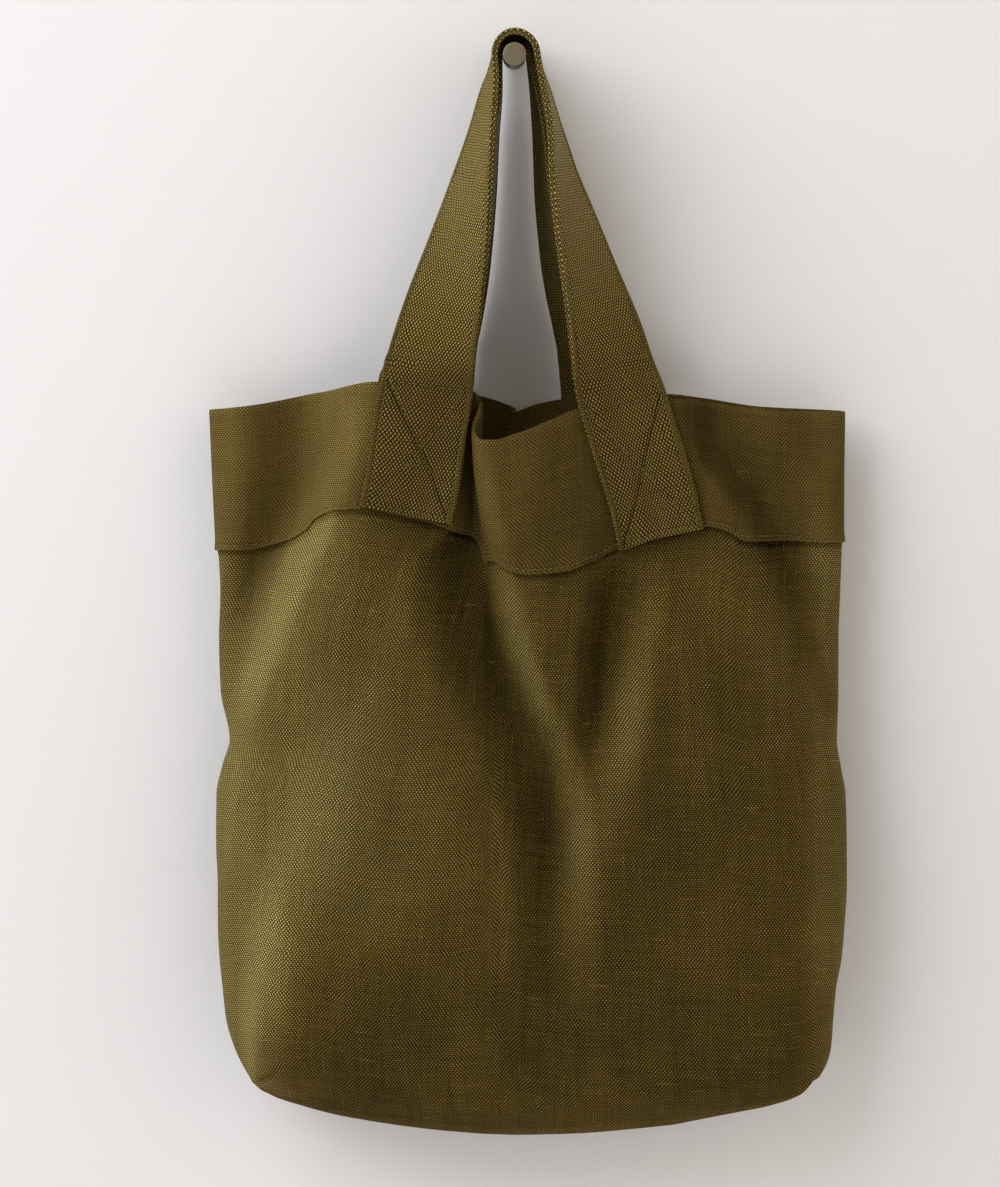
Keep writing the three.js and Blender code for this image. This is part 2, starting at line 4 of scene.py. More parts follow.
import bpy
import numpy as np
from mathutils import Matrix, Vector

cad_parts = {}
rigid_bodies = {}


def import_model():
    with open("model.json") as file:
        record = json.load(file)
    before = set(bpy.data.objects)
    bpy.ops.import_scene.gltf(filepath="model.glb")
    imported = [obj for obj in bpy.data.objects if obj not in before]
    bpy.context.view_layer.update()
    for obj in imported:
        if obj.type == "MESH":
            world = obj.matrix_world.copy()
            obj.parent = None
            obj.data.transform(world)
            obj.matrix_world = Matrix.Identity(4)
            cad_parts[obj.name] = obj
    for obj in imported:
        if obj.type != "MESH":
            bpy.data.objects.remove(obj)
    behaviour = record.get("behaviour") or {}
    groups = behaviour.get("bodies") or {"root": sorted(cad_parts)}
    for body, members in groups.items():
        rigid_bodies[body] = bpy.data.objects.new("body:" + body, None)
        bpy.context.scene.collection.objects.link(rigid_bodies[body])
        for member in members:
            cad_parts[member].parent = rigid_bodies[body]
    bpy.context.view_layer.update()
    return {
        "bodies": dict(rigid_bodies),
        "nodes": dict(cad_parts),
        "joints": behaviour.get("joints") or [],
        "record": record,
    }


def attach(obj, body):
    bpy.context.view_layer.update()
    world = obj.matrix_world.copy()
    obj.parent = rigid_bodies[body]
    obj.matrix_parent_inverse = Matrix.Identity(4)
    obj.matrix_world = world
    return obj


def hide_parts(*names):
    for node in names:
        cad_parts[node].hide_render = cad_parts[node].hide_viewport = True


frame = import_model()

# Canvas tote bag hung by both handles from a peg. Sizes are in millimetres, in the part's own
# frame, and become metres where a mesh is made. Y runs into the wall, Z up.

mm = 0.001
body = "root"
print("frame loaded")


# Camera and light

camera = {
    "place": (-9.4, -3047.2, -77.6),
    "aim": (-9.4, -60.0, -354.7),
    "lens": 137.0,
    "sensor": 36.0,
    "farthest": 60.0,  # metres
}

lights = {
    "window": {
        "place": (-1850, -1350, 1680), "aim": (0, 0, -330), "size": 2800, "watts": 92,
        "colour": "#eff6ff",
    },
    "backFill": {
        "place": (1500, 2600, 500), "aim": (0, 0, -350), "size": 2200, "watts": 45,
        "colour": "#ffffff",
    },
    # the room is dim ahead of the bag and bright to its left and right
    "sky": {
        "ahead": 0.3, "left": 1.0, "right": 1.02, "from": 0.3, "to": 0.7, "colour": "#fff5e4",
    },
}


def linearColour(hexValue):
    channels = [int(hexValue[i:i + 2], 16) / 255 for i in (1, 3, 5)]
    linear = [c / 12.92 if c <= 0.04045 else ((c + 0.055) / 1.055) ** 2.4 for c in channels]
    return (*linear, 1.0)


def aimAt(thing, place, aim):
    thing.location = Vector(place) * mm
    thing.rotation_euler = (Vector(aim) - Vector(place)).to_track_quat("-Z", "Y").to_euler()


def addNode(tree, kind, settings=None, links=None):
    node = tree.nodes.new("ShaderNode" + kind)
    for name, value in (settings or {}).items():
        setattr(node, name, value)
    for name, value in (links or {}).items():
        socket = node.inputs[name]
        if isinstance(value, bpy.types.Node):
            value = value.outputs[0]
        if isinstance(value, bpy.types.NodeSocket):
            tree.links.new(value, socket)
        else:
            socket.default_value = value
    return node


def makeCamera():
    data = bpy.data.cameras.new("camera")
    data.lens = camera["lens"]
    data.sensor_width = camera["sensor"]
    data.clip_end = camera["farthest"]
    thing = bpy.data.objects.new("camera", data)
    bpy.context.scene.collection.objects.link(thing)
    aimAt(thing, camera["place"], camera["aim"])
    bpy.context.scene.camera = thing


def makeLights():
    for name in ("window", "backFill"):
        look = lights[name]
        data = bpy.data.lights.new(name, "AREA")
        data.size = look["size"] * mm
        data.energy = look["watts"]
        data.color = linearColour(look["colour"])[:3]
        thing = bpy.data.objects.new(name, data)
        bpy.context.scene.collection.objects.link(thing)
        aimAt(thing, look["place"], look["aim"])
    world = bpy.data.worlds.new("paleRoom")
    world.use_nodes = True
    background = world.node_tree.nodes["Background"]
    background.inputs["Color"].default_value = linearColour(lights["sky"]["colour"])
    tree, sky = world.node_tree, lights["sky"]
    towards = addNode(tree, "TexCoord")
    parts = addNode(tree, "SeparateXYZ", {}, {0: towards.outputs["Generated"]})
    level = sky["ahead"]
    for sign, side in ((-1, "left"), (1, "right")):
        start, full = sign * sky["from"], sign * sky["to"]
        glow = addNode(
            tree, "MapRange", {},
            {"Value": parts.outputs[0], "From Min": start, "From Max": full, "To Max": sky[side]},
        )
        level = addNode(tree, "Math", {"operation": "ADD"}, {0: glow, 1: level})
    tree.links.new(level.outputs[0], background.inputs["Strength"])
    bpy.context.scene.world = world


bpy.context.scene.view_settings.view_transform = "Standard"
makeCamera()
makeLights()
print("camera and lights made")


# Tables of the hung shape, a row per section or fold

def table(columns, rows):
    # rows of numbers, each number under its column's name
    return [dict(zip(columns.split(), row)) for row in rows]


def tables(columns, runs):
    return {name: table(columns, rows) for name, rows in runs.items()}


# Left and right edges of the hung bag, seen from the front
sides = table("z left right", [
    (-234, -201.2, 218.8), (-282, -199.4, 218.4), (-326, -197.4, 218.6), (-356, -196.0, 217.8),
    (-387, -197.0, 216.8), (-422, -196.0, 216.8), (-456, -190.0, 216.0), (-471, -194.4, 218.2),
    (-492, -199.0, 221.8), (-525, -199.4, 222.8), (-552, -198.4, 223.0), (-580, -198.4, 221.6),
    (-602, -197.4, 219.8), (-623, -195.4, 216.2), (-644, -193.2, 214.4), (-663, -187.8, 213.2),
    (-674, -183.0, 210.4), (-683, -178.0, 205.8), (-688, -175.4, 203.8),
])

# Depths from rim (down 0) to bottom (down 1): side seams, crowns of front and back, and how
# squarely each part turns into the side seams
depths = table("down seam front back left right flat soft", [
    (0, -31, -59, -9.6, 2.1, 2.1, 4, 0.56), (0.16, -32, -64, -9.4, 2.1, 2.1, 4, 0.55),
    (0.24, -33, -70, -8.2, 2.1, 2.1, 4, 0.54), (0.4, -36, -86, -5.6, 2.1, 2.1, 4, 0.52),
    (0.6, -40, -102, -4.6, 2.3, 2.3, 4, 0.5), (0.74, -42, -107, -4.6, 2.6, 2.6, 4, 0.5),
    (0.84, -43, -105, -5.4, 3, 3, 5, 0.5), (0.91, -43, -99, -8, 3.6, 3.6, 5, 0.5),
    (0.96, -42, -90, -13, 4.2, 4.2, 5, 0.5), (1, -42, -74, -26, 5, 5, 5, 0.5),
])

# Upper edge of the front: level at the corners, lifted by the handles, drooping between them
frontRim = table("x z", [
    (-203, -234), (-168, -229.6), (-128, -222), (-90, -214), (-57, -216.5), (-33, -219), (-27, -220.5),
    (-21.5, -225.5), (-18, -236), (-15, -246), (-11, -251), (-4, -251), (8, -247), (22, -240),
    (42, -231), (73, -227.5), (105, -225.5), (145, -231), (178, -234), (220, -235),
])

backRim = table("x z", [
    (-203, -234), (-165, -232), (-125, -226), (-92, -222), (-60, -222), (-28, -225), (-2, -233),
    (4, -237), (10, -236), (22, -231), (42, -227), (102, -224.5), (125, -227), (167, -233),
    (220, -235),
])

# Lower edge of the top band
frontBandEdge = table("x z", [
    (-199, -328), (-176, -326.5), (-151, -322), (-137, -314), (-130, -306), (-116, -299),
    (-102, -297.5), (-70, -304), (-40, -313), (-26, -319), (-9, -334), (6, -341), (31, -339),
    (52, -331), (67, -324), (98, -316), (128, -309.5), (140, -312.5), (152, -319.5), (184, -322),
    (220, -322.5),
])

backBandEdge = table("x z", [
    (-199, -328), (-100, -318), (0, -328), (110, -317), (220, -322.5),
])

# Bottom of the bag, sagging between its corners
bottomEdge = table("x z", [
    (-175, -686), (-158, -690.2), (-144, -693.6), (-115, -699.4), (-81, -704.2), (-46, -708.2),
    (3, -711.2), (33, -710.4), (99, -705.2), (150, -697), (178, -692.6), (194, -688.6), (202, -682),
])

# Folds of the front, each a run of rows from the top down: where its line lies, how far it stands
# out (or, negative, is sunk) and how far it reaches to either side
frontFolds = tables("z x rise left right", {
    "leftTrough": [
        (-200, -142, -18, 50, 38), (-253, -141, -19, 48, 38), (-306, -150, -18, 42, 36),
        (-359, -175, -11, 34, 30), (-400, -189, -5, 26, 26), (-440, -196, 0, 26, 26),
    ],
    "leftRidge": [
        (-200, -86, 6, 26, 60), (-246, -95, 10, 27, 60), (-285, -108, 14, 29, 60),
        (-335, -127, 17, 30, 62), (-388, -149, 17, 28, 68), (-425, -165, 12, 25, 70),
        (-470, -178, 3, 24, 60), (-500, -182, 0, 24, 50),
    ],
    "wedge": [
        (-200, -12, 22, 10, 118), (-250, -11, 22, 11, 118), (-300, -2, 20, 27, 102),
        (-340, 10, 14, 34, 70), (-390, 21, 7, 32, 40), (-455, 24, 0, 28, 30),
    ],
    "leftValley": [
        (-200, -29, -6, 10, 12), (-250, -28.5, -10, 10, 14), (-305, -25, -15, 16, 20),
        (-335, -23, -21, 46, 26), (-360, -19, -25, 56, 27), (-393, -9, -25, 56, 26),
        (-427, 5, -24, 52, 26), (-460, 19, -23, 46, 28), (-510, 26, -21, 36, 30),
        (-560, 27, -16, 32, 32), (-610, 27, -7, 32, 32), (-650, 27, 0, 32, 32),
    ],
    "rightValley": [
        (-306, 63, 0, 26, 30), (-330, 69, -5, 30, 30), (-360, 70, -17, 28, 34),
        (-393, 63, -20, 26, 34), (-427, 60, -17, 24, 34), (-455, 55, -9, 22, 36),
        (-485, 48, 0, 20, 36),
    ],
    "rightRidge": [
        (-200, 100, 5, 50, 22), (-240, 108, 8, 50, 22), (-308, 147, 10, 56, 28),
        (-368, 172, 10, 54, 26), (-418, 196, 7, 46, 18), (-450, 208, 0, 40, 12),
    ],
    "rightTrough": [
        (-200, 134, -15, 28, 56), (-250, 138, -16, 28, 54), (-308, 181, -13, 32, 34),
        (-360, 200, -5, 26, 22), (-415, 210, 0, 22, 20),
    ],
    "cornerRidge": [
        (-450, -118, 0, 36, 50), (-495, -127, 5, 36, 56), (-562, -148, 10, 30, 54),
        (-601, -160, 12, 24, 52), (-640, -167, 12, 18, 48), (-668, -170, 9, 13, 44),
        (-690, -171, 4, 10, 36), (-705, -171, 0, 10, 30),
    ],
})

backFolds = tables("z x rise left right", {
    "middle": [
        (-200, 8, -9, 11, 48), (-260, 8, -9, 14, 50), (-330, 6, -10, 60, 60), (-450, 14, -6, 60, 60),
        (-560, 18, 0, 50, 50),
    ],
})

# Where the rim doubles back on itself beside the mouth: where it turns, over what width it runs
# back, how far, and over what width that is taken up again
pleats = tables("z x over back ease", {
    False: [
        (-200, -21.5, 7, 12, 52), (-262, -21.5, 7, 10, 52), (-310, -23, 9, 4, 50),
        (-345, -24, 12, 0, 46),
    ],
    True: [
        (-200, -1, 7, 11, 44), (-245, -1, 7, 8, 44), (-300, -1, 9, 0, 40),
    ],
})

# Small creases of the front, from one end to the other: half width and height (sunk if negative)
creaseColumns = "x1 z1 x2 z2 wide rise"
# the boxed corner's short seam and the lip of cloth under it
cornerCreases = table(creaseColumns, [
    (-178, -688.4, -157, -671, 2.4, -2.6), (-176, -691.4, -154.4, -673.6, 2.8, 1.1),
])
smallCreases = table(creaseColumns, [
    (-152, -452, -149, -500, 4, -0.9), (-164, -470, -163, -540, 5, -0.8),
    (-120, -352, -124, -420, 6, -0.7), (-86, -330, -88, -408, 6, -0.7),
    (-142, -380, -150, -446, 5, -0.8), (12, -590, 8, -668, 6, -0.8), (112, -420, 108, -470, 6, -0.6),
    (186, -640, 171, -650, 4, -1.2), (186, -642, 180, -660, 4, -1), (196, -452, 199, -492, 4, 1.1),
    (-186, -560, -184, -600, 4, -0.8),
]) + cornerCreases

# Middle line of each handle leg from the peg down to its end on the bag: place, turn about the
# vertical (0 with its width along the peg, 90 flat on the bag), and how far it is sewn down
legs = tables("z x y turn sewn", {
    "frontLeft": [
        (0, -12.8, -68, 0, 0), (-12, -14.2, -68, 4, 0), (-20, -15.9, -68, 7, 0),
        (-50, -21.5, -68, 13.6, 0), (-87, -28.8, -68, 25, 0), (-126, -37.2, -68, 38.6, 0),
        (-164, -46.6, -68, 52.3, 0), (-196, -53.9, -67.6, 63.5, 0), (-213, -57, -67.4, 72, 0.7),
        (-222, -58.3, -67.4, 73, 1), (-240, -61.2, -67.4, 77, 1), (-280, -67, -69, 79, 1),
        (-303, -72, -70, 80, 1),
    ],
    "frontRight": [
        (0, 14.7, -68, 0, 0), (-8, 16.6, -68, 0.8, 0), (-22, 20.6, -68, 3, 0),
        (-42, 25.5, -68, 5.5, 0), (-61, 29.3, -68.2, 10.5, 0), (-75, 31.9, -68.5, 14.5, 0),
        (-107, 39.8, -69, 25, 0), (-145, 50, -69.5, 36.5, 0), (-180, 59.6, -70, 49, 0),
        (-203, 64.8, -70.5, 57, 0), (-216, 67.6, -71, 64, 0.7), (-226, 70.4, -71, 67, 1),
        (-260, 81, -71, 69, 1), (-290, 90.6, -71, 70, 1), (-318, 97.4, -71, 70, 1),
    ],
    "backLeft": [
        (0, -9.9, -40, 0, 0), (-20, -10.2, -39.5, 0.6, 0), (-50, -13.7, -38, 3.6, 0),
        (-90, -17.8, -37, 7.8, 0), (-130, -24, -36, 13.5, 0), (-165, -35, -32, 27, 0),
        (-180, -42, -29, 38, 0), (-195, -51, -23, 55, 0), (-208, -57.2, -14, 74, 0),
        (-219, -59.4, -5.6, 88, 0.5), (-227, -60.2, -4, 90, 1), (-306, -70, -4, 90, 1),
    ],
    "backRight": [
        (0, 10.1, -40, 0, 0), (-20, 13.6, -39.5, 2.5, 0), (-50, 17.5, -38, 6, 0),
        (-90, 20.2, -37, 8.4, 0), (-130, 27.6, -36, 16, 0), (-165, 38.4, -32, 27, 0),
        (-180, 45.8, -29, 38, 0), (-195, 54.6, -23, 55, 0), (-208, 60.8, -14, 74, 0),
        (-219, 63.8, -5.6, 88, 0.5), (-227, 65.4, -4, 90, 1), (-310, 84, -4, 90, 1),
    ],
})


# Shape of the hung cloth

def readAt(rows, key, at, column):
    # smooth curve through one column of a table, without overshoot between its rows
    knots = np.array([row[key] for row in rows], float)
    values = np.array([row[column] for row in rows], float)
    if knots[0] > knots[-1]:
        knots, values = knots[::-1], values[::-1]
    span = np.diff(knots)
    slope = np.diff(values) / span
    bend = np.zeros(len(knots))
    bend[0], bend[-1] = slope[0], slope[-1]
    for k in range(1, len(slope)):
        before, after = slope[k - 1], slope[k]
        if before * after > 0:
            w1 = 2 * span[k] + span[k - 1]
            w2 = span[k] + 2 * span[k - 1]
            bend[k] = (w1 + w2) / (w1 / before + w2 / after)
    at = np.clip(at, knots[0], knots[-1])
    i = np.clip(np.searchsorted(knots, at, "right") - 1, 0, len(span) - 1)
    h = span[i]
    t = (at - knots[i]) / h
    rest = 1 - t
    start = rest * rest * (1 + 2 * t) * values[i] + rest * rest * t * h * bend[i]
    end = t * t * (3 - 2 * t) * values[i + 1] - t * t * rest * h * bend[i + 1]
    return start + end


def mix(a, b, share):
    return a + (b - a) * share


def hump(value, height, at, wide):
    return height * np.exp(-(((value - at) / wide) ** 2))


def smooth(low, high, value):
    t = np.clip((value - low) / (high - low), 0, 1)
    return t * t * (3 - 2 * t)


def foldRise(fold, x, z):
    line = readAt(fold, "z", z, "x")
    reach = np.where(x < line, readAt(fold, "z", z, "left"), readAt(fold, "z", z, "right"))
    t = np.clip((x - line) / reach, -1, 1)
    rise = readAt(fold, "z", z, "rise") * (0.5 + 0.5 * np.cos(np.pi * t))
    return np.where((z > fold[0]["z"]) | (z < fold[-1]["z"]), 0, rise)


def creaseRise(crease, x, z):
    # a soft ridge or trough along a straight line, fading towards its ends
    start = np.array([crease["x1"], crease["z1"]], float)
    along = np.array([crease["x2"], crease["z2"]], float) - start
    length = np.hypot(*along)
    along /= length
    run = (x - start[0]) * along[0] + (z - start[1]) * along[1]
    off = (x - start[0]) * along[1] - (z - start[1]) * along[0]
    fade = np.clip(run / length, 0, 1)
    fade = np.where((run > 0) & (run < length), np.sin(np.pi * fade) ** 0.7, 0)
    across = np.clip(np.abs(off) / crease["wide"], 0, 1)
    return crease["rise"] * fade * (0.5 + 0.5 * np.cos(np.pi * across))


clothShape = {
    "seamCalm": 0.11,  # share of the half width over which folds die out at a side seam
    "unevenness": [(26, 2.2, 0.9, 3), (11, 2.6, 0.3, 5)],  # width, height to width, rise, seed
    # share of the half width, and shares down the bag, over which the unevenness sets in
    "calmSide": 0.15, "calmTop": (0.2, 0.35),
    "slopeStep": 2.0,  # mm over which slopes are measured
}
broadFolds = {name: fold for name, fold in frontFolds.items() if name != "leftValley"}


def clothDepth(isBack, across, down, x, z, folds, creases=()):
    seam = readAt(depths, "down", down, "seam")
    crown = readAt(depths, "down", down, "back" if isBack else "front")
    if isBack:
        turn = readAt(depths, "down", down, "flat")
    else:
        left, right = readAt(depths, "down", down, "left"), readAt(depths, "down", down, "right")
        turn = np.where(across < 0, left, right)
    soft = readAt(depths, "down", down, "soft")
    swell = np.maximum(0, 1 - np.abs(across) ** turn) ** soft
    nearSeam = np.clip((1 - np.abs(across)) / clothShape["seamCalm"], 0, 1)
    outward = 1 if isBack else -1
    rise = sum(foldRise(fold, x, z) for fold in folds.values())
    rise = rise + sum(creaseRise(crease, x, z) for crease in creases)
    return mix(seam, crown, swell) + outward * nearSeam * rise


def edgeHeights(isBack, x):
    top = readAt(backRim if isBack else frontRim, "x", x, "z")
    band = readAt(backBandEdge if isBack else frontBandEdge, "x", x, "z")
    return top, band, readAt(bottomEdge, "x", x, "z")


def sideEdges(down):
    leftZ = mix(sides[0]["z"], bottomEdge[0]["z"], down)
    rightZ = mix(frontRim[-1]["z"], bottomEdge[-1]["z"], down)
    return readAt(sides, "z", leftZ, "left"), readAt(sides, "z", rightZ, "right")


def pleatShift(isBack, x, z):
    rows = pleats[isBack]
    start = readAt(rows, "z", z, "x")
    end = start + readAt(rows, "z", z, "over")
    ease = end + readAt(rows, "z", z, "ease")
    return -readAt(rows, "z", z, "back") * smooth(start, end, x) * (1 - smooth(end, ease, x))


def wobble(x, z, cell, tall, seed):
    # soft unevenness of washed cloth, taller than wide, from -1 to 1
    spots = np.random.default_rng(seed).uniform(-1, 1, (64, 64))
    i, j = x / cell + 32, z / (cell * tall) + 48
    i0, j0 = np.floor(i).astype(int), np.floor(j).astype(int)
    s, t = smooth(0, 1, i - i0), smooth(0, 1, j - j0)
    low = mix(spots[i0 % 64, j0 % 64], spots[(i0 + 1) % 64, j0 % 64], s)
    high = mix(spots[i0 % 64, (j0 + 1) % 64], spots[(i0 + 1) % 64, (j0 + 1) % 64], s)
    return mix(low, high, t)


def clothPoint(isBack, across, down):
    left, right = sideEdges(down)
    x = mix(left, right, (across + 1) / 2)
    top, _, bottom = edgeHeights(isBack, x)
    z = mix(top, bottom, down)
    folds = backFolds if isBack else frontFolds
    creases = () if isBack else smallCreases
    y = clothDepth(isBack, across, down, x, z, folds, creases)
    calm = smooth(0, clothShape["calmSide"], 1 - np.abs(across))
    calm = calm * smooth(*clothShape["calmTop"], down)
    for cell, tall, height, seed in clothShape["unevenness"]:
        y = y + calm * height * wobble(x, z, cell, tall, seed)
    return np.stack([x + pleatShift(isBack, x, z), y, z], axis=-1)


def clothAbove(isBack, x, z, out):
    # a place above the cloth, found by its place in the front view; a stiff strap bridges the
    # narrow valley beside it
    folds = backFolds if isBack else broadFolds

    def depthAt(px, pz):
        top, _, bottom = edgeHeights(isBack, px)
        down = (top - pz) / (top - bottom)
        left, right = sideEdges(down)
        across = 2 * (px - left) / (right - left) - 1
        return clothDepth(isBack, across, down, px, pz, folds)

    step = clothShape["slopeStep"]
    slopeX = (depthAt(x + step, z) - depthAt(x - step, z)) / (2 * step)
    slopeZ = (depthAt(x, z + step) - depthAt(x, z - step)) / (2 * step)
    normal = np.stack([-slopeX, np.ones_like(slopeX), -slopeZ], axis=-1)
    normal /= np.linalg.norm(normal, axis=-1, keepdims=True)
    if not isBack:
        normal = -normal
    point = np.stack([x, depthAt(x, z), z], axis=-1)
    return point + normal * np.asarray(out)[..., None], normal


# Small node and mesh helpers

def makeMesh(name, points, faces, material, uvs=None, sharp=None, lightAndWear=None):
    # points in mm; uvs one pair (mm) per face corner; the last argument holds painted light and shade with
    # some wear, paler above 0 and darker below
    data = bpy.data.meshes.new(name)
    data.from_pydata((np.asarray(points) * mm).tolist(), [], faces)
    if uvs is not None:
        layer = data.uv_layers.new(name="cloth")
        layer.data.foreach_set("uv", np.asarray(uvs, np.float32).ravel())
    data.polygons.foreach_set("use_smooth", [True] * len(data.polygons))
    data.materials.append(material)
    if lightAndWear is not None:
        values = data.attributes.new("lightAndWear", "FLOAT", "POINT").data
        values.foreach_set("value", lightAndWear.astype(np.float32))
    data.update()
    if sharp is not None:
        data.set_sharp_from_angle(angle=math.radians(sharp))
    thing = bpy.data.objects.new(name, data)
    bpy.context.scene.collection.objects.link(thing)
    return thing


class MeshPlan:
    # gathers grids of points with their cloth coordinates, then makes one mesh
    def __init__(self):
        self.points = []
        self.lightAndWear = []
        self.faces = []
        self.uvs = []
        self.count = 0

    def place(self, points, lightAndWear=0.0):
        # gives each point's number, in the shape of the grid
        points = np.asarray(points, float)
        numbers = self.count + np.arange(points.size // 3).reshape(points.shape[:-1])
        self.points.append(points.reshape(-1, 3))
        self.lightAndWear.append(np.broadcast_to(lightAndWear, numbers.shape).ravel())
        self.count += numbers.size
        return numbers

    def grid(self, ids, uv, flip=False):
        # quads between neighbouring rows and columns of an array of point numbers
        corners = [(0, 0), (1, 0), (1, 1), (0, 1)]
        if flip:
            corners = corners[::-1]
        rows, columns = ids.shape
        picks = [ids[r:rows - 1 + r, c:columns - 1 + c].ravel() for r, c in corners]
        spots = [uv[r:rows - 1 + r, c:columns - 1 + c].reshape(-1, 2) for r, c in corners]
        self.faces.extend(np.stack(picks, axis=1).tolist())
        self.uvs.append(np.stack(spots, axis=1).reshape(-1, 2))

    def corners(self, faces, uvs):
        self.faces.extend(faces)
        self.uvs.append(np.asarray(uvs, float).reshape(-1, 2))

    def make(self, name, material, sharp=None):
        points = np.concatenate(self.points)
        lightAndWear = np.concatenate(self.lightAndWear)
        return makeMesh(name, points, self.faces, material, np.concatenate(self.uvs), sharp, lightAndWear)


def lengthsAlong(points, axis):
    # running length of a grid of points along one of its axes
    steps = np.linalg.norm(np.diff(points, axis=axis), axis=-1)
    start = np.zeros_like(np.take(steps, [0], axis=axis))
    return np.concatenate([start, np.cumsum(steps, axis=axis)], axis=axis)


def unit(vectors):
    return vectors / np.maximum(1e-9, np.linalg.norm(vectors, axis=-1, keepdims=True))


# Materials

canvasLooks = {
    # washed linen-cotton canvas, plain weave: matt, pale thread crowns over dark gaps, whose darkness is
    # painted shade between the threads. Its threads are about 0.9 by 1.3 mm apart, drawn a little coarser
    # so that a picture's pixels can show them.
    # in each look, the colour after the gap is the crowns' colour where painted light is strongest; the
    # last number is how strongly painted light and wear change the tone
    "bodyCanvas": {
        "warpMm": 1.12, "weftMm": 1.42, "relief": 0.36, "crown": "#847139", "gap": "#231802",
        "litWornCrown": "#938853", "weftOver": 0.25, "streak": 0.5, "broad": 0.24, "patchy": 0.34,
        "crinkleMm": 1.5, "crinkleTone": 0.4, "slub": 0.9, "paintedLightAndWear": 0.34,
    },
    # the same canvas, doubled and pressed: flatter, with fewer slubs
    "bandCanvas": {
        "warpMm": 1.1, "weftMm": 1.3, "relief": 0.3, "crown": "#786735", "gap": "#30240a",
        "litWornCrown": "#7a6c3e", "weftOver": 0.3, "streak": 0.4, "broad": 0.25, "patchy": 0.4,
        "crinkleMm": 0.4, "crinkleTone": 0.3, "slub": 0.3, "paintedLightAndWear": 0.27,
    },
    # heavy canvas of thick yarn, drawn a little coarser than its 1.2 by 1.7 mm: each crossing stands
    # out as a dot
    "handleCanvas": {
        "warpMm": 1.26, "weftMm": 1.8, "relief": 0.45, "crown": "#948245", "gap": "#2c1f06",
        "litWornCrown": "#978b56", "weftOver": 0.1, "streak": 0.4, "broad": 0.25, "patchy": 0.3,
        "crinkleMm": 0.1, "crinkleTone": 0.0, "slub": 0.0, "paintedLightAndWear": 0.28,
    },
}

# Unevenness of every canvas, as noises: waves per mm across and up the cloth, detail, roughness.
# Threads thicken and thin over some 50 mm of their length; slubs are 1 to 2 mm thick.
unevenYarn = {
    "wander": (0.06, 0.06, 2.0, 0.5),
    "warpRuns": (0.6, 0.02, 3.0, 0.5), "weftRuns": (0.02, 0.5, 3.0, 0.5),
    "broad": (0.1, 0.008, 3.0, 0.6),      # upright bands
    "weftSlubs": (0.045, 0.7, 1.0, 0.5), "warpSlubs": (0.8, 0.04, 1.0, 0.5),
    "fade": (0.012, 0.009, 3.0, 0.5),     # places a hand wide that the wash has left paler
    "crinkle": (0.26, 0.026, 3.0, 0.6),   # upright crinkles
}

canvasFinish = {
    "startAt": (11.7, 23.17), "startStep": (37.31, 91.3),  # where each noise begins on the cloth
    "wanderMm": 2.6,                      # how far the threads wander off their line
    "crossing": 0.8,                      # height of the weave at which its crown is at its palest
    "slubFrom": 0.72, "slubTo": 0.8,      # the highest places of a noise are slubs
    "warpSlubs": 0.7, "weftSlubs": 1.0,
    "crinkleFrom": 0.42, "crinkleTo": 0.62, "crinkleLeast": 0.15,  # crinkles are in faded places
    "litWornFrom": 0.3, "litWornTo": 2.1,   # painted light and wear over which the crowns take their painted highlight colour
    "runsRelief": 0.5,                    # how much thick yarn stands out, against its crossings
    # dyed cotton: a dull surface with hardly any gloss and a trace of fuzz
    "roughness": 0.9, "specular": 0.04, "sheen": 0.04, "sheenRoughness": 0.5,
}


def startMaterial(name):
    material = bpy.data.materials.new(name)
    material.use_nodes = True
    material.node_tree.nodes.clear()
    return material, material.node_tree


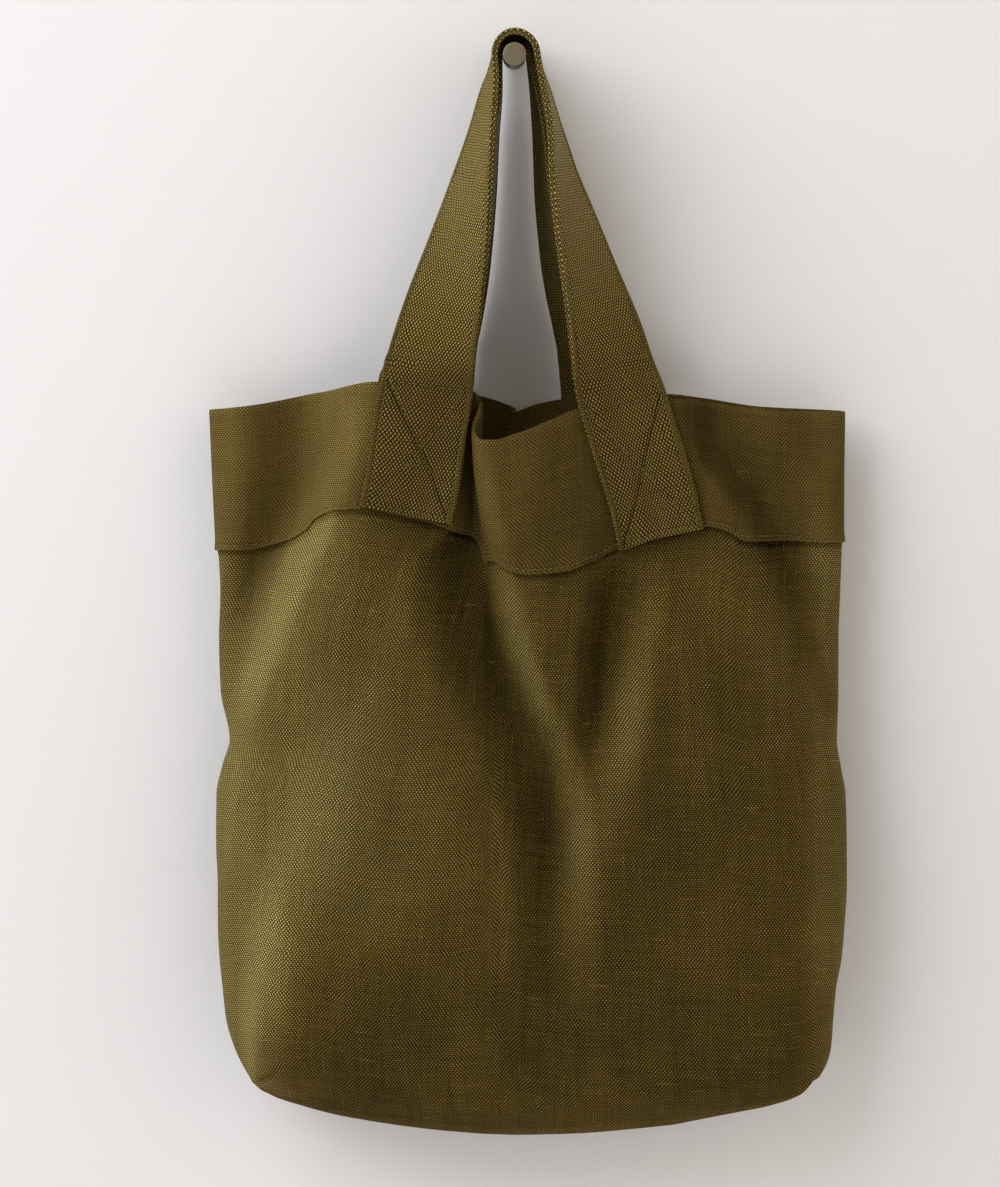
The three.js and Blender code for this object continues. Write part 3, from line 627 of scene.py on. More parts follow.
def makeCanvas(name, look):
    material, tree = startMaterial(name)
    finish = canvasFinish
    startAt, startStep = finish["startAt"], finish["startStep"]
    uv = addNode(tree, "UVMap", {"uv_map": "cloth"})
    noises = {}
    for part, (across, up, detail, roughness) in unevenYarn.items():
        # each noise has a start of its own, so that no line through the cloth is common to them
        start = (startStep[0] * across + startAt[0], startStep[1] * up + startAt[1], 0)
        spot = addNode(
            tree, "VectorMath", {"operation": "MULTIPLY_ADD"}, {0: uv, 1: (across, up, 0), 2: start},
        )
        noises[part] = addNode(
            tree, "TexNoise", {"noise_dimensions": "2D"},
            {"Vector": spot, "Scale": 1.0, "Detail": detail, "Roughness": roughness},
        )

    # weave: a crossing where the warp lies on top is a high dot, where the weft does a low one
    drift = addNode(
        tree, "VectorMath", {"operation": "MULTIPLY_ADD"},
        {0: noises["wander"].outputs["Color"], 1: (finish["wanderMm"], finish["wanderMm"], 0), 2: uv},
    )
    phase = addNode(
        tree, "VectorMath", {"operation": "MULTIPLY"},
        {0: drift, 1: (math.pi / look["warpMm"], math.pi / look["weftMm"], 0)},
    )
    parts = addNode(tree, "SeparateXYZ", {}, {0: phase})
    warp, weft = (addNode(tree, "Math", {"operation": "SINE"}, {0: parts.outputs[k]}) for k in (0, 1))
    check = addNode(tree, "Math", {"operation": "MULTIPLY"}, {0: warp, 1: weft})
    over, under = (
        addNode(tree, "Math", {"operation": side}, {0: check, 1: 0.0}) for side in ("MAXIMUM", "MINIMUM")
    )
    weave = addNode(tree, "Math", {"operation": "MULTIPLY_ADD"}, {0: under, 1: -look["weftOver"], 2: over})

    runs = addNode(tree, "Math", {"operation": "ADD"}, {0: noises["warpRuns"], 1: noises["weftRuns"]})
    slubs = [
        addNode(
            tree, "MapRange", {"interpolation_type": "SMOOTHSTEP"},
            {
                "Value": noises[part], "From Min": finish["slubFrom"], "From Max": finish["slubTo"],
                "To Max": finish[part] * look["slub"],
            },
        )
        for part in ("weftSlubs", "warpSlubs")
    ]
    slub = addNode(tree, "Math", {"operation": "ADD"}, {0: slubs[0], 1: slubs[1]})
    where = addNode(
        tree, "MapRange", {"interpolation_type": "SMOOTHSTEP"},
        {
            "Value": noises["fade"], "From Min": finish["crinkleFrom"], "From Max": finish["crinkleTo"],
            "To Min": finish["crinkleLeast"], "To Max": 1.0,
        },
    )
    crinkled = addNode(tree, "Math", {"operation": "MULTIPLY"}, {0: noises["crinkle"], 1: where})
    # painted light and shade of the folds and edges, with some wear on ridges
    lightAndWear = addNode(tree, "Attribute", {"attribute_name": "lightAndWear"}).outputs["Fac"]

    # shade: each part darkens or lightens the thread about its middle tone; the part from the attribute of
    # painted light and wear, and the crinkle part, paint light and shade
    level = 1 - look["streak"] - 0.5 * (look["broad"] + look["patchy"]) - 0.25 * look["crinkleTone"]
    shade = addNode(tree, "Math", {"operation": "ADD"}, {0: slub, 1: level})
    for value, factor in (
        (runs, "streak"), (noises["broad"], "broad"), (noises["fade"], "patchy"), (lightAndWear, "paintedLightAndWear"),
        (crinkled, "crinkleTone"),
    ):
        shade = addNode(tree, "Math", {"operation": "MULTIPLY_ADD"}, {0: value, 1: look[factor], 2: shade})
    # the weave's low places take the dark gap colour: painted shade between the threads
    share = addNode(
        tree, "MapRange", {"interpolation_type": "SMOOTHSTEP"},
        {"Value": weave, "From Min": 0.0, "From Max": finish["crossing"]},
    )
    # where painted light is strongest the crowns turn paler and greyer: the colour of a painted highlight,
    # with some wear
    litWornShare = addNode(
        tree, "MapRange", {},
        {"Value": lightAndWear, "From Min": finish["litWornFrom"], "From Max": finish["litWornTo"]},
    )
    crown = addNode(
        tree, "Mix", {"data_type": "RGBA"},
        {0: litWornShare, 6: linearColour(look["crown"]), 7: linearColour(look["litWornCrown"])},
    )
    yarn = addNode(
        tree, "Mix", {"data_type": "RGBA"},
        {0: share, 6: linearColour(look["gap"]), 7: crown.outputs[2]},
    )
    tinted = addNode(
        tree, "Mix", {"data_type": "RGBA", "blend_type": "MULTIPLY"},
        {0: 1.0, 6: yarn.outputs[2], 7: shade},
    )

    soft = addNode(tree, "Bump", {}, {"Height": crinkled, "Distance": look["crinkleMm"] * mm})
    raised = addNode(tree, "Math", {"operation": "ADD"}, {0: weave, 1: slub})
    lifted = addNode(
        tree, "Math", {"operation": "MULTIPLY_ADD"}, {0: runs, 1: finish["runsRelief"], 2: raised},
    )
    woven = addNode(
        tree, "Bump", {}, {"Height": lifted, "Distance": look["relief"] * mm, "Normal": soft},
    )
    shader = addNode(
        tree, "BsdfPrincipled", {},
        {
            "Base Color": tinted.outputs[2], "Roughness": finish["roughness"], "IOR": 1.5,
            "Specular IOR Level": finish["specular"], "Sheen Weight": finish["sheen"],
            "Sheen Roughness": finish["sheenRoughness"], "Sheen Tint": linearColour(look["crown"]),
            "Normal": woven,
        },
    )
    addNode(tree, "OutputMaterial", {}, {"Surface": shader})
    return material


# spun polyester sewing thread, dyed to match: a little smoother than the cloth, its ply just seen
threadLook = {
    "pale": "#7e7141", "deep": "#44391b", "roughness": 0.8, "specular": 0.15,
    "toneMm": 0.9, "toneDetail": 1.0, "grainMm": 0.9, "grainDetail": 1.0, "relief": 0.08,
}
# powder-coated steel: satin, with the faint orange-peel grain of the coat, rubbed unevenly
pegLook = {
    "pale": "#706552", "deep": "#615745", "roughness": 0.42, "specular": 0.5,
    "toneMm": 100 / 9, "toneDetail": 3.0, "grainMm": 0.6, "grainDetail": 2.0, "relief": 0.03,
}


def makeHardFinish(name, look):
    material, tree = startMaterial(name)
    place = addNode(tree, "TexCoord").outputs["Object"]
    tone, grain = (
        addNode(
            tree, "TexNoise", {},
            {"Vector": place, "Scale": 1 / (look[part + "Mm"] * mm), "Detail": look[part + "Detail"]},
        )
        for part in ("tone", "grain")
    )
    colour = addNode(
        tree, "Mix", {"data_type": "RGBA"},
        {0: tone, 6: linearColour(look["deep"]), 7: linearColour(look["pale"])},
    )
    bump = addNode(tree, "Bump", {}, {"Height": grain, "Distance": look["relief"] * mm})
    shader = addNode(
        tree, "BsdfPrincipled", {},
        {
            "Base Color": colour.outputs[2], "Roughness": look["roughness"],
            "Specular IOR Level": look["specular"], "Normal": bump,
        },
    )
    addNode(tree, "OutputMaterial", {}, {"Surface": shader})
    return material


bodyCanvas = makeCanvas("washedLinenCanvas", canvasLooks["bodyCanvas"])
bandCanvas = makeCanvas("pressedLinenCanvas", canvasLooks["bandCanvas"])
handleCanvas = makeCanvas("heavyBasketCanvas", canvasLooks["handleCanvas"])
sewingThread = makeHardFinish("sewingThread", threadLook)
pegPaint = makeHardFinish("powderCoatedSteel", pegLook)
print("materials made")


# Rings of points around the bag

mesh = {
    "frontColumns": 240,
    "bandRows": 10,
    "bodyRows": 178,
    "bottomRows": 16,
    "crowding": 1.1,                     # above 1 puts more of the body's rows at its bottom
    "evenLevel": 0.16,                   # share down the bag where the columns are evenly spread
    "evenSteps": 1201,
    "calmRows": 20, "calmColumns": 16,   # over which the weave is straightened
    "grainSkew": 0.05,                   # the cloth hangs a little off its grain
}

bodyLook = {
    "cloth": 0.8,
    "under": 1.2,     # middle of the cloth under the band
    "free": 0.4,      # and below it
    "settle": 5.0,    # it goes from one to the other over this height below the band's edge
    "settleAbove": 2.0,
    "belowRim": 2.5,  # its raw edge, hidden in the band's fold
    "edgeShadow": (-1.1, -1.2, 1.3),  # painted shadow under the band's edge: amount, place and half its height
}

bandLook = {
    "outside": 2.6,
    "inside": -0.15,
    "cloth": 0.9,
    "facing": 62.0,     # how far the band reaches down inside
    "stitchUp": 3.2,    # topstitching above the lower edge
    "dimple": 0.35,
    "hem": 0.75,        # the turned-in hem thickens the lower edge
    "hemHigh": (8.0, 1.5),
    "faceRows": 60, "rowCrowding": 0.75, "turnRows": 8, "insideRows": 14, "hiddenRows": (6, 12),
    "readTo": 1.03, "readRows": 64,  # share of the band down to which the body's cloth is read
    # painted highlights above the lower edge and below the rim, and painted shade along the stitch line:
    # amount, place and width
    "edgeHighlight": (0.9, 0.6, 1.2), "rimHighlight": (0.5, 1.5, 1.2), "stitchWide": 1.4, "stitchShade": -0.5,
    # painted highlight on the hem's rounded foot
    "footHighlight": 0.6,
}


def evenColumns(count):
    # shares across the front, evenly spread along the cloth
    shares = np.sin(np.pi * (np.linspace(0, 1, mesh["evenSteps"]) - 0.5))
    level = np.full_like(shares, mesh["evenLevel"])
    run = lengthsAlong(clothPoint(False, shares, level), 0)
    return np.interp(np.linspace(0, run[-1], count + 1), run, shares)


class Ring:
    # columns around the bag: the front from left to right, then half as many along the back
    def __init__(self, count):
        self.front = evenColumns(count)
        self.back = self.front[::2][::-1][1:-1]
        self.frontCount = count + 1
        heights, whole = [], []
        for isBack, across in ((False, self.front), (True, self.back)):
            x = clothPoint(isBack, across, np.full_like(across, mesh["evenLevel"]))[:, 0]
            top, band, bottom = edgeHeights(isBack, x)
            heights.append(top - band)
            whole.append(top - bottom)
        self.bandHeight = np.concatenate(heights)
        self.bandShare = self.bandHeight / np.concatenate(whole)

    def points(self, down):
        # down has a row per ring and a column per place around the bag
        n = self.frontCount
        rows = down.shape[0]
        front = clothPoint(False, np.tile(self.front, (rows, 1)), down[:, :n])
        back = clothPoint(True, np.tile(self.back, (rows, 1)), down[:, n:])
        return np.concatenate([front, back], axis=1)


def ringNormals(points):
    ahead = np.roll(points, -1, axis=1) - points
    behind = points - np.roll(points, 1, axis=1)
    around = unit(ahead) + unit(behind)
    down = np.gradient(points, axis=0)
    return unit(np.cross(down, around))


def closeRing(ids):
    return np.concatenate([ids, ids[:, :1]], axis=1)


def calmed(values, axis, reach):
    # a running mean, taken twice, that leaves both ends as they are
    values = np.moveaxis(values, axis, 0)
    wide = 2 * reach + 1
    for _ in range(2):
        padded = np.pad(values, ((reach, reach), (0, 0)), mode="reflect", reflect_type="odd")
        sums = np.cumsum(np.concatenate([np.zeros_like(padded[:1]), padded]), axis=0)
        values = (sums[wide:] - sums[:-wide]) / wide
    return np.moveaxis(values, 0, axis)


def clothUv(points, middle, level):
    # cloth coordinates in mm, with a last column that closes the ring; one row of points gives
    # each column its start
    closed = closeRing(points)
    u = lengthsAlong(closed, 1)
    u = u - u[:, middle:middle + 1]
    v = lengthsAlong(closed, 0)
    v = v - v[level] - closed[level, :, 2]
    # the weave runs straight over small folds
    u, v = calmed(u, 0, mesh["calmRows"]), calmed(v, 1, mesh["calmColumns"])
    skew = mesh["grainSkew"]
    return np.stack([u + skew * v, skew * u - v], axis=-1)


ring = Ring(mesh["frontColumns"])

# Painted light and shade on the front, with some wear on its ridges
paintedLightAndWear = {
    "plain": -0.25,   # everywhere on the front
    "ridge": 40.0,    # height of a fold that is paler by one: wear and painted light on ridges, painted shade in troughs
    "slope": 1.1,     # painted light for a slope of one that faces left
    "seam": 0.5,      # for each mm that the boxed corner's seam stands out: painted shade in its sunk line, painted highlight on its lip
    "most": 1.3,      # limit of those three
    # painted light near the left side: how much, and over which reach above and at the bottom
    "paintedLight": 1.6, "above": (30.0, -150.0), "below": (-112.0, -164.0), "turns": (-545.0, -615.0),
    # painted light at both side seams, and darker at the foot: how much, and over which reach
    "leftEdge": (0.5, -165, -190), "rightEdge": (1.3, 182, 207), "foot": (-0.3, -590, -670),
}

# Places of the front painted lighter where light falls on them, and one painted darker in the shadow under
# the left patch, as rows from the top down
litAndShadedPlaces = tables("z x rise left right", {
    "leftTop": [
        (-285, -155, 0, 24, 24), (-313, -155, 0.15, 26, 24), (-345, -158, 0, 26, 24),
    ],
    "leftFoot": [
        (-562, -157, 0, 18, 16), (-588, -156, 0.7, 18, 16), (-618, -157, 0.65, 18, 14),
        (-655, -162, 0, 18, 12),
    ],
    "leftBelly": [
        (-380, -118, 0, 40, 34), (-410, -120, 0.3, 40, 34), (-480, -120, 0.65, 40, 44),
        (-540, -118, 0.4, 36, 40), (-570, -118, 0, 30, 34),
    ],
    "middleBelly": [
        (-450, -56, 0, 30, 30), (-480, -56, 0.35, 30, 30), (-530, -56, 0.3, 30, 30),
        (-560, -56, 0, 30, 30),
    ],
    "underPatch": [
        (-288, -56, -0.4, 24, 22), (-310, -56, -0.75, 24, 22), (-350, -54, -0.1, 24, 22),
    ],
    "middleCrest": [
        (-320, 12, 0, 16, 16), (-345, 11, 0.55, 18, 18), (-432, 11, 0.4, 20, 18),
        (-500, 10, 0.35, 20, 18), (-616, 10, 0.45, 24, 20), (-650, 10, 0, 24, 20),
    ],
    "rightCrest": [
        (-390, 78, 0, 26, 24), (-430, 77, 1.0, 28, 26), (-463, 71, 1.25, 30, 28),
        (-494, 63, 1.1, 30, 30), (-524, 52, 0.8, 28, 30), (-556, 45, 0.4, 26, 30),
        (-600, 40, 0, 26, 30),
    ],
    "rightBelly": [
        (-320, 170, 0, 20, 30), (-345, 174, 0.35, 26, 34), (-500, 174, 0.4, 34, 36),
        (-560, 174, 0.5, 34, 36), (-660, 174, 0.3, 30, 30),
    ],
})


def frontRise(x, z):
    return sum(foldRise(fold, x, z) for name, fold in frontFolds.items() if name != "wedge")


def clothLightAndWear(points, frontCount):
    # painted light: the front is paler where it faces its left, most of all near its left side, and on
    # ridges, which have also worn; painted shade darkens its troughs
    x, z = points[:, :frontCount, 0], points[:, :frontCount, 2]
    step = clothShape["slopeStep"]
    slope = (frontRise(x + step, z) - frontRise(x - step, z)) / (2 * step)
    atFoot = smooth(*paintedLightAndWear["turns"], z)
    start, full = (mix(above, below, atFoot) for above, below in zip(paintedLightAndWear["above"], paintedLightAndWear["below"]))
    paintedLight = paintedLightAndWear["plain"] + paintedLightAndWear["paintedLight"] * smooth(0, 1, (x - start) / (full - start))
    for part, along in (("leftEdge", x), ("rightEdge", x), ("foot", z)):
        amount, low, high = paintedLightAndWear[part]
        paintedLight = paintedLight + amount * smooth(low, high, along)
    paintedLight = paintedLight + sum(foldRise(place, x, z) for place in litAndShadedPlaces.values())
    seam = sum(creaseRise(crease, x, z) for crease in cornerCreases)
    shape = frontRise(x, z) / paintedLightAndWear["ridge"] + paintedLightAndWear["slope"] * slope + paintedLightAndWear["seam"] * seam
    lightAndWear = np.zeros(points.shape[:-1])
    lightAndWear[:, :frontCount] = np.clip(shape, -paintedLightAndWear["most"], paintedLightAndWear["most"]) + paintedLight
    return lightAndWear


def makeBody():
    n = mesh["frontColumns"]
    first = bodyLook["belowRim"] / ring.bandHeight
    inBand = mix(first[None, :], 1, np.linspace(0, 1, mesh["bandRows"] + 1)[:, None]) * ring.bandShare
    rest = np.linspace(0, 1, mesh["bodyRows"] + 1)[1:, None]
    below = 1 - (1 - rest) ** mesh["crowding"]
    down = np.concatenate([inBand, mix(ring.bandShare[None, :], 1.0, below)])
    points = ring.points(down)
    normals = ringNormals(points)
    # under the bottom the cloth turns round from front to back
    frontEnd, backEnd = points[-1, :n + 1], np.empty((n + 1, 3))
    wallSide = np.concatenate([points[-1, n:], points[-1, :1]])[::-1]
    backEnd[::2] = wallSide
    backEnd[1::2] = (wallSide[:-1] + wallSide[1:]) / 2
    frontPull = unit(points[-1, :n + 1] - points[-3, :n + 1])
    ringEnd = np.concatenate([points[-3, n:], points[-3, :1]])[::-1]
    backPull = np.empty((n + 1, 3))
    backPull[::2] = unit(wallSide - ringEnd)
    backPull[1::2] = unit(backPull[:-1:2] + backPull[2::2])
    gap = np.linalg.norm(backEnd - frontEnd, axis=-1)[:, None]
    t = np.linspace(0, 1, mesh["bottomRows"] + 1)[1:-1, None, None]
    h00, h10 = 2 * t**3 - 3 * t**2 + 1, t**3 - 2 * t**2 + t
    h01, h11 = 3 * t**2 - 2 * t**3, t**3 - t**2
    bottom = h00 * frontEnd + h10 * frontPull * gap + h01 * backEnd - h11 * backPull * gap
    whole = np.concatenate([frontEnd[None], bottom, backEnd[None]])
    bottomNormals = unit(np.cross(np.gradient(whole, axis=0), np.gradient(whole, axis=1)))
    bottomNormals[:, 0] = bottomNormals[:, 1]
    bottomNormals[:, -1] = bottomNormals[:, -2]
    normals[-1, :n + 1] = bottomNormals[0]
    normals[-1, n:] = bottomNormals[-1][::2][::-1][:-1]

    # the cloth lies out under the band and comes back in below it
    height = points[..., 2]
    edge = points[mesh["bandRows"], :, 2][None, :]
    settled = smooth(edge - bodyLook["settle"], edge + bodyLook["settleAbove"], height)
    out = mix(bodyLook["free"], bodyLook["under"], settled)
    half = bodyLook["cloth"] / 2
    uv = clothUv(points, n // 2, mesh["bandRows"])
    plan = MeshPlan()
    # painted shadow in a strip just under the band's edge
    amount, at, reach = bodyLook["edgeShadow"]
    lightAndWear = clothLightAndWear(points, n + 1) + amount * (np.abs(height - edge - at) < reach)
    outer = plan.place(points + normals * (out + half)[..., None], lightAndWear)
    plan.grid(closeRing(outer), uv)
    run = lengthsAlong(whole, 0)
    bottomUv = np.stack([np.tile(uv[-1, :n + 1, 0], (len(run), 1)), uv[-1, :n + 1, 1] - run], axis=-1)
    free = bodyLook["free"]
    under = plan.place(bottom + bottomNormals[1:-1] * (free + half))
    fillBottom(plan, outer[-1], n, under, bottomUv[:-1])

    # the inside, with half as many rows and columns
    lining = (points - normals * (half - out)[..., None])[::2, ::2]
    inner = plan.place(lining)
    plan.grid(closeRing(inner), uv[::2, ::2], flip=True)
    innerUnder = plan.place((bottom - bottomNormals[1:-1] * (half - free))[1::2, ::2])
    fillBottom(plan, inner[-1], n // 2, innerUnder, bottomUv[:-1:2, ::2], flip=True)
    closeRim(plan, outer[0], inner[0], uv[0])
    return plan.make("bag_body_cloth", bodyCanvas)


def fillBottom(plan, lastRing, columns, under, uv, flip=False):
    # rows under the bag from its front to its wall side, which has half as many columns; they meet
    # in one point at each side seam
    rows = np.concatenate([lastRing[None, :columns + 1], under])
    plan.grid(rows[:, 1:-1], uv[:, 1:-1], flip=flip)
    for end, near, turned in ((0, 1, flip), (-1, -2, not flip)):
        for r in range(len(rows) - 1):
            face = [int(rows[0, end]), int(rows[r + 1, near]), int(rows[r, near])]
            spots = [uv[r, end], uv[r + 1, near], uv[r, near]]
            plan.corners([face[::-1] if turned else face], spots[::-1] if turned else spots)
    fine = rows[-1].copy()
    fine[0], fine[-1] = rows[0, 0], rows[0, -1]
    wallRow = np.concatenate([lastRing[columns:], lastRing[:1]])[::-1]
    for k in range(len(wallRow) - 1):
        a, b, c = 2 * k, 2 * k + 1, 2 * k + 2
        ids = {"a": fine[a], "b": fine[b], "c": fine[c], "k": wallRow[k], "l": wallRow[k + 1]}
        spots = {"a": uv[-1, a], "b": uv[-1, b], "c": uv[-1, c], "k": uv[-1, a], "l": uv[-1, c]}
        for trio in ("akb", "klb", "blc"):
            order = trio[::-1] if flip else trio
            face = [int(ids[name]) for name in order]
            if len(set(face)) == 3:
                plan.corners([face], [spots[name] for name in order])


def closeRim(plan, outer, inner, uv):
    count = len(outer)
    for k in range(len(inner)):
        a, b, c = 2 * k, 2 * k + 1, (2 * k + 2) % count
        i, j = inner[k], inner[(k + 1) % len(inner)]
        for face in ((outer[a], outer[b], i), (outer[b], j, i), (outer[b], outer[c], j)):
            plan.corners([[int(p) for p in face]], [uv[a], uv[b], uv[b]])


def hemRise(above):
    return bandLook["hem"] * smooth(*bandLook["hemHigh"], above)


def makeBand():
    # one closed section: outer face, rounded rim, inner face, and the hidden faces between
    shares = np.linspace(0, bandLook["readTo"], bandLook["readRows"])
    points = ring.points(shares[:, None] * ring.bandShare[None, :])
    normals = ringNormals(points)
    outside, inside, thin = bandLook["outside"], bandLook["inside"], bandLook["cloth"]
    radius, middle = (outside - inside) / 2, (outside + inside) / 2
    height = ring.bandHeight
    section = []  # distance below the rim, offset from the body's cloth, and painted light

    def addRow(downMm, offset, lightAndWear=0.0):
        section.append([np.broadcast_to(value, height.shape) for value in (downMm, offset, lightAndWear)])

    lip = 0.5 * thin
    turn = np.linspace(0, np.pi, bandLook["turnRows"])[1:-1]
    for share in np.linspace(1, 0, bandLook["faceRows"]) ** bandLook["rowCrowding"]:
        downMm = mix(radius, height - lip, share)
        above = height - downMm
        sunk = hump(above, 1, bandLook["stitchUp"], bandLook["stitchWide"])
        # painted highlights on the lower edge and below the rim, painted shade in the stitch line
        lightAndWear = hump(above, *bandLook["edgeHighlight"]) + hump(downMm, *bandLook["rimHighlight"])
        offset = outside + hemRise(above) - bandLook["dimple"] * sunk
        addRow(downMm, offset, lightAndWear + bandLook["stitchShade"] * sunk)
    for angle in turn:
        addRow(radius * (1 - np.sin(angle)), middle + radius * np.cos(angle))
    for share in np.linspace(0, 1, bandLook["insideRows"]):
        addRow(mix(radius, bandLook["facing"], share), inside)
    addRow(bandLook["facing"] + lip, inside + lip)
    for share in np.linspace(1, 0, bandLook["hiddenRows"][0]):
        addRow(mix(radius + 1, bandLook["facing"], share), inside + thin)
    for share in np.linspace(0, 1, bandLook["hiddenRows"][1]):
        addRow(mix(radius + 1, height - lip, share), outside - thin)
    foot = (bandLook["hem"] + thin) / 2
    middleOut = outside + bandLook["hem"] - foot
    # the hem's rounded foot, with a painted highlight
    for angle in turn:
        down, offset = height - lip + lip * np.sin(angle), middleOut - foot * np.cos(angle)
        addRow(down, offset, bandLook["footHighlight"])

    rows = []
    column = np.arange(len(height))
    for downMm, offset, _ in section:
        at = np.clip(downMm / height / shares[1], 0, len(shares) - 1.001)
        low = at.astype(int)
        part = (at - low)[:, None]
        spot = mix(points[low, column], points[low + 1, column], part)
        normal = unit(mix(normals[low, column], normals[low + 1, column], part))
        rows.append(spot + normal * offset[:, None])
    rows = np.array(rows)
    u = lengthsAlong(closeRing(rows), 1)
    u = u - u[:, mesh["frontColumns"] // 2][:, None]
    v = closeRing(-np.array([downMm for downMm, _, _ in section]))
    skew = mesh["grainSkew"]
    uv = np.stack([u - skew * v, v + skew * u], axis=-1)
    edgeLight = np.array([lightAndWear for _, _, lightAndWear in section])
    plan = MeshPlan()
    ids = closeRing(plan.place(rows, clothLightAndWear(rows, ring.frontCount) + edgeLight))
    ids = np.concatenate([ids, ids[:1]])
    uv = np.concatenate([uv, uv[:1]])
    plan.grid(ids, uv, flip=True)
    return plan.make("top_band_cloth", bandCanvas)


bagBody = makeBody()
topBand = makeBand()
print("body and band made")


# Sewing

stitchLook = {
    "length": 2.9, "pitch": 3.7, "radius": 0.36,
    "bow": (0.9, 1.5),   # rise in radii at the middle of a stitch, and fall to its ends
    "taper": 1.06,       # just above 1: how far its ends close
    "sides": 6, "rings": 6,
}


def stitchRun(plan, points, normals):
    # a row of stitches along a line on the cloth, each a short bowed thread that dips in at its ends
    length, pitch, radius, sides = (stitchLook[key] for key in ("length", "pitch", "radius", "sides"))
    run = lengthsAlong(points, 0)
    count = max(1, int(run[-1] / pitch))
    ringShares = np.linspace(-1, 1, stitchLook["rings"])
    turns = 2 * np.pi * np.arange(sides) / sides
    bow = radius * (stitchLook["bow"][0] - stitchLook["bow"][1] * ringShares ** 4)
    thin = radius * np.sqrt(np.clip(stitchLook["taper"] - ringShares ** 6, 0, 1))
    for middle in (np.arange(count) + 0.5) * run[-1] / count:
        at = middle + ringShares * length / 2
        spots = np.stack([np.interp(at, run, points[:, k]) for k in range(3)], axis=-1)
        up = unit(np.stack([np.interp(at, run, normals[:, k]) for k in range(3)], axis=-1))
        along = unit(np.gradient(spots, axis=0))
        out = unit(np.cross(along, up))
        centre = spots + up * bow[:, None]
        rows = centre[:, None] + thin[:, None, None] * (
            np.cos(turns)[None, :, None] * out[:, None] + np.sin(turns)[None, :, None] * up[:, None]
        )
        ids = plan.place(rows)
        plan.grid(closeRing(ids), np.zeros((len(ids), sides + 1, 2)), flip=True)
        ends = [ids[0].tolist(), ids[-1][::-1].tolist()]
        plan.corners(ends, np.zeros((2 * sides, 2)))


def makeBandStitching():
    share = 1 - bandLook["stitchUp"] / ring.bandHeight
    near = 0.02  # rows just above and below give the line its normals
    rows = np.stack([share - near, share, share + near]) * ring.bandShare[None, :]
    points = ring.points(rows)
    normals = ringNormals(points)
    out = bandLook["outside"] + hemRise(bandLook["stitchUp"]) - bandLook["dimple"]
    line = closeRing(points + normals * out)[1]
    plan = MeshPlan()
    stitchRun(plan, line, closeRing(normals)[1])
    return plan.make("top_band_stitching", sewingThread)


bandStitching = makeBandStitching()


# Handles

strap = {
    "width": 64.0,
    "patchOut": 5.5,      # middle of a sewn end above the middle of the body's cloth
    "pathStep": 1.0,
    "freeStep": 2.4,
    "afterLip": 0.9,
    "sewnStep": 1.2,
    "sewnReach": 96.0,    # closer stations this far from each end
    "archSteps": 60,
    "frontArch": 15.0,
    "backArch": 9.9,
    "leastTurn": 0.9,     # radians: a sewn end never lies narrower than this turn shows it
    "cornerRound": 2.5,
    "middlePlaces": 41,
    "smoothEdge": 3.2,    # round its folded edges the weave is pressed fine and smooth
    "edgeFineness": 2.6,
    # lighter where it hangs free, and over which reach from its end
    "freeLighter": 1.75, "freeReach": (70, 220),
    # painted highlight on the lip and painted shade in the stitch line: amount, place and width in from
    # the edge; and painted shade in the stitched box
    "lipHighlight": (0.35, 0.8, 0.9), "lineShade": (-0.6, 4.1, 0.7), "pressedShade": -1.1,
}

# Half thickness of the strap in from its folded edges: a rolled lip, the sunk stitch line, then the
# flat middle
lipProfile = table("in half", [
    (0, 1.0), (0.3, 1.7), (0.9, 2.12), (1.8, 2.28), (2.7, 2.1), (3.4, 1.55), (4.1, 1.15), (4.8, 1.5),
    (5.8, 1.78), (7.4, 1.75),
])
lipSteps = [row["in"] for row in lipProfile[:-1]]
edgeNotch = [(0.25, 0.45), (0.9, 0), (0.25, -0.45)]  # in from the edge, height: the parted edges

# Box of stitches that holds a sewn end: its foot and top above the strap's end, its sides in from
# the edges, and how deep each line pulls the cloth in
box = {
    "foot": 4.1, "top": {"left": 87.5, "right": 92.5}, "overTop": 2.0, "side": 4.1,
    "down": 1.4, "up": 0.4, "across": 0.5, "wide": 1.2,
    # how high its stitches lie above the strap's middle, how far apart a seam's places are, and the
    # share of its width at either end of a line that stays free
    "groove": 1.15, "topHigh": 1.5, "downHigh": 1.1, "upHigh": 1.45, "seamStep": 1.5,
    "places": 60, "clear": 0.03,
}


def handlePath(leftLeg, rightLeg, arch):
    # middle line from one sewn end over the peg to the other, with the strap's turn
    def legRows(leg, side, upwards):
        step = strap["pathStep"]
        zs = np.arange(0, leg[-1]["z"] - step / 2, -step)
        zs = zs[::-1] if upwards else zs
        x, y, turn, sewn = (readAt(leg, "z", zs, key) for key in ("x", "y", "turn", "sewn"))
        return np.stack([x, y, zs, np.radians(turn), sewn, np.full(len(zs), side)], axis=-1)

    angle = np.linspace(np.pi, 0, strap["archSteps"] + 1)[1:-1]
    reach = np.where(angle > np.pi / 2, -leftLeg[0]["x"], rightLeg[0]["x"])
    over = np.zeros((len(angle), 6))
    over[:, 0], over[:, 1], over[:, 2] = reach * np.cos(angle), leftLeg[0]["y"], arch * np.sin(angle)
    return np.concatenate([legRows(leftLeg, 1, True), over, legRows(rightLeg, -1, False)])


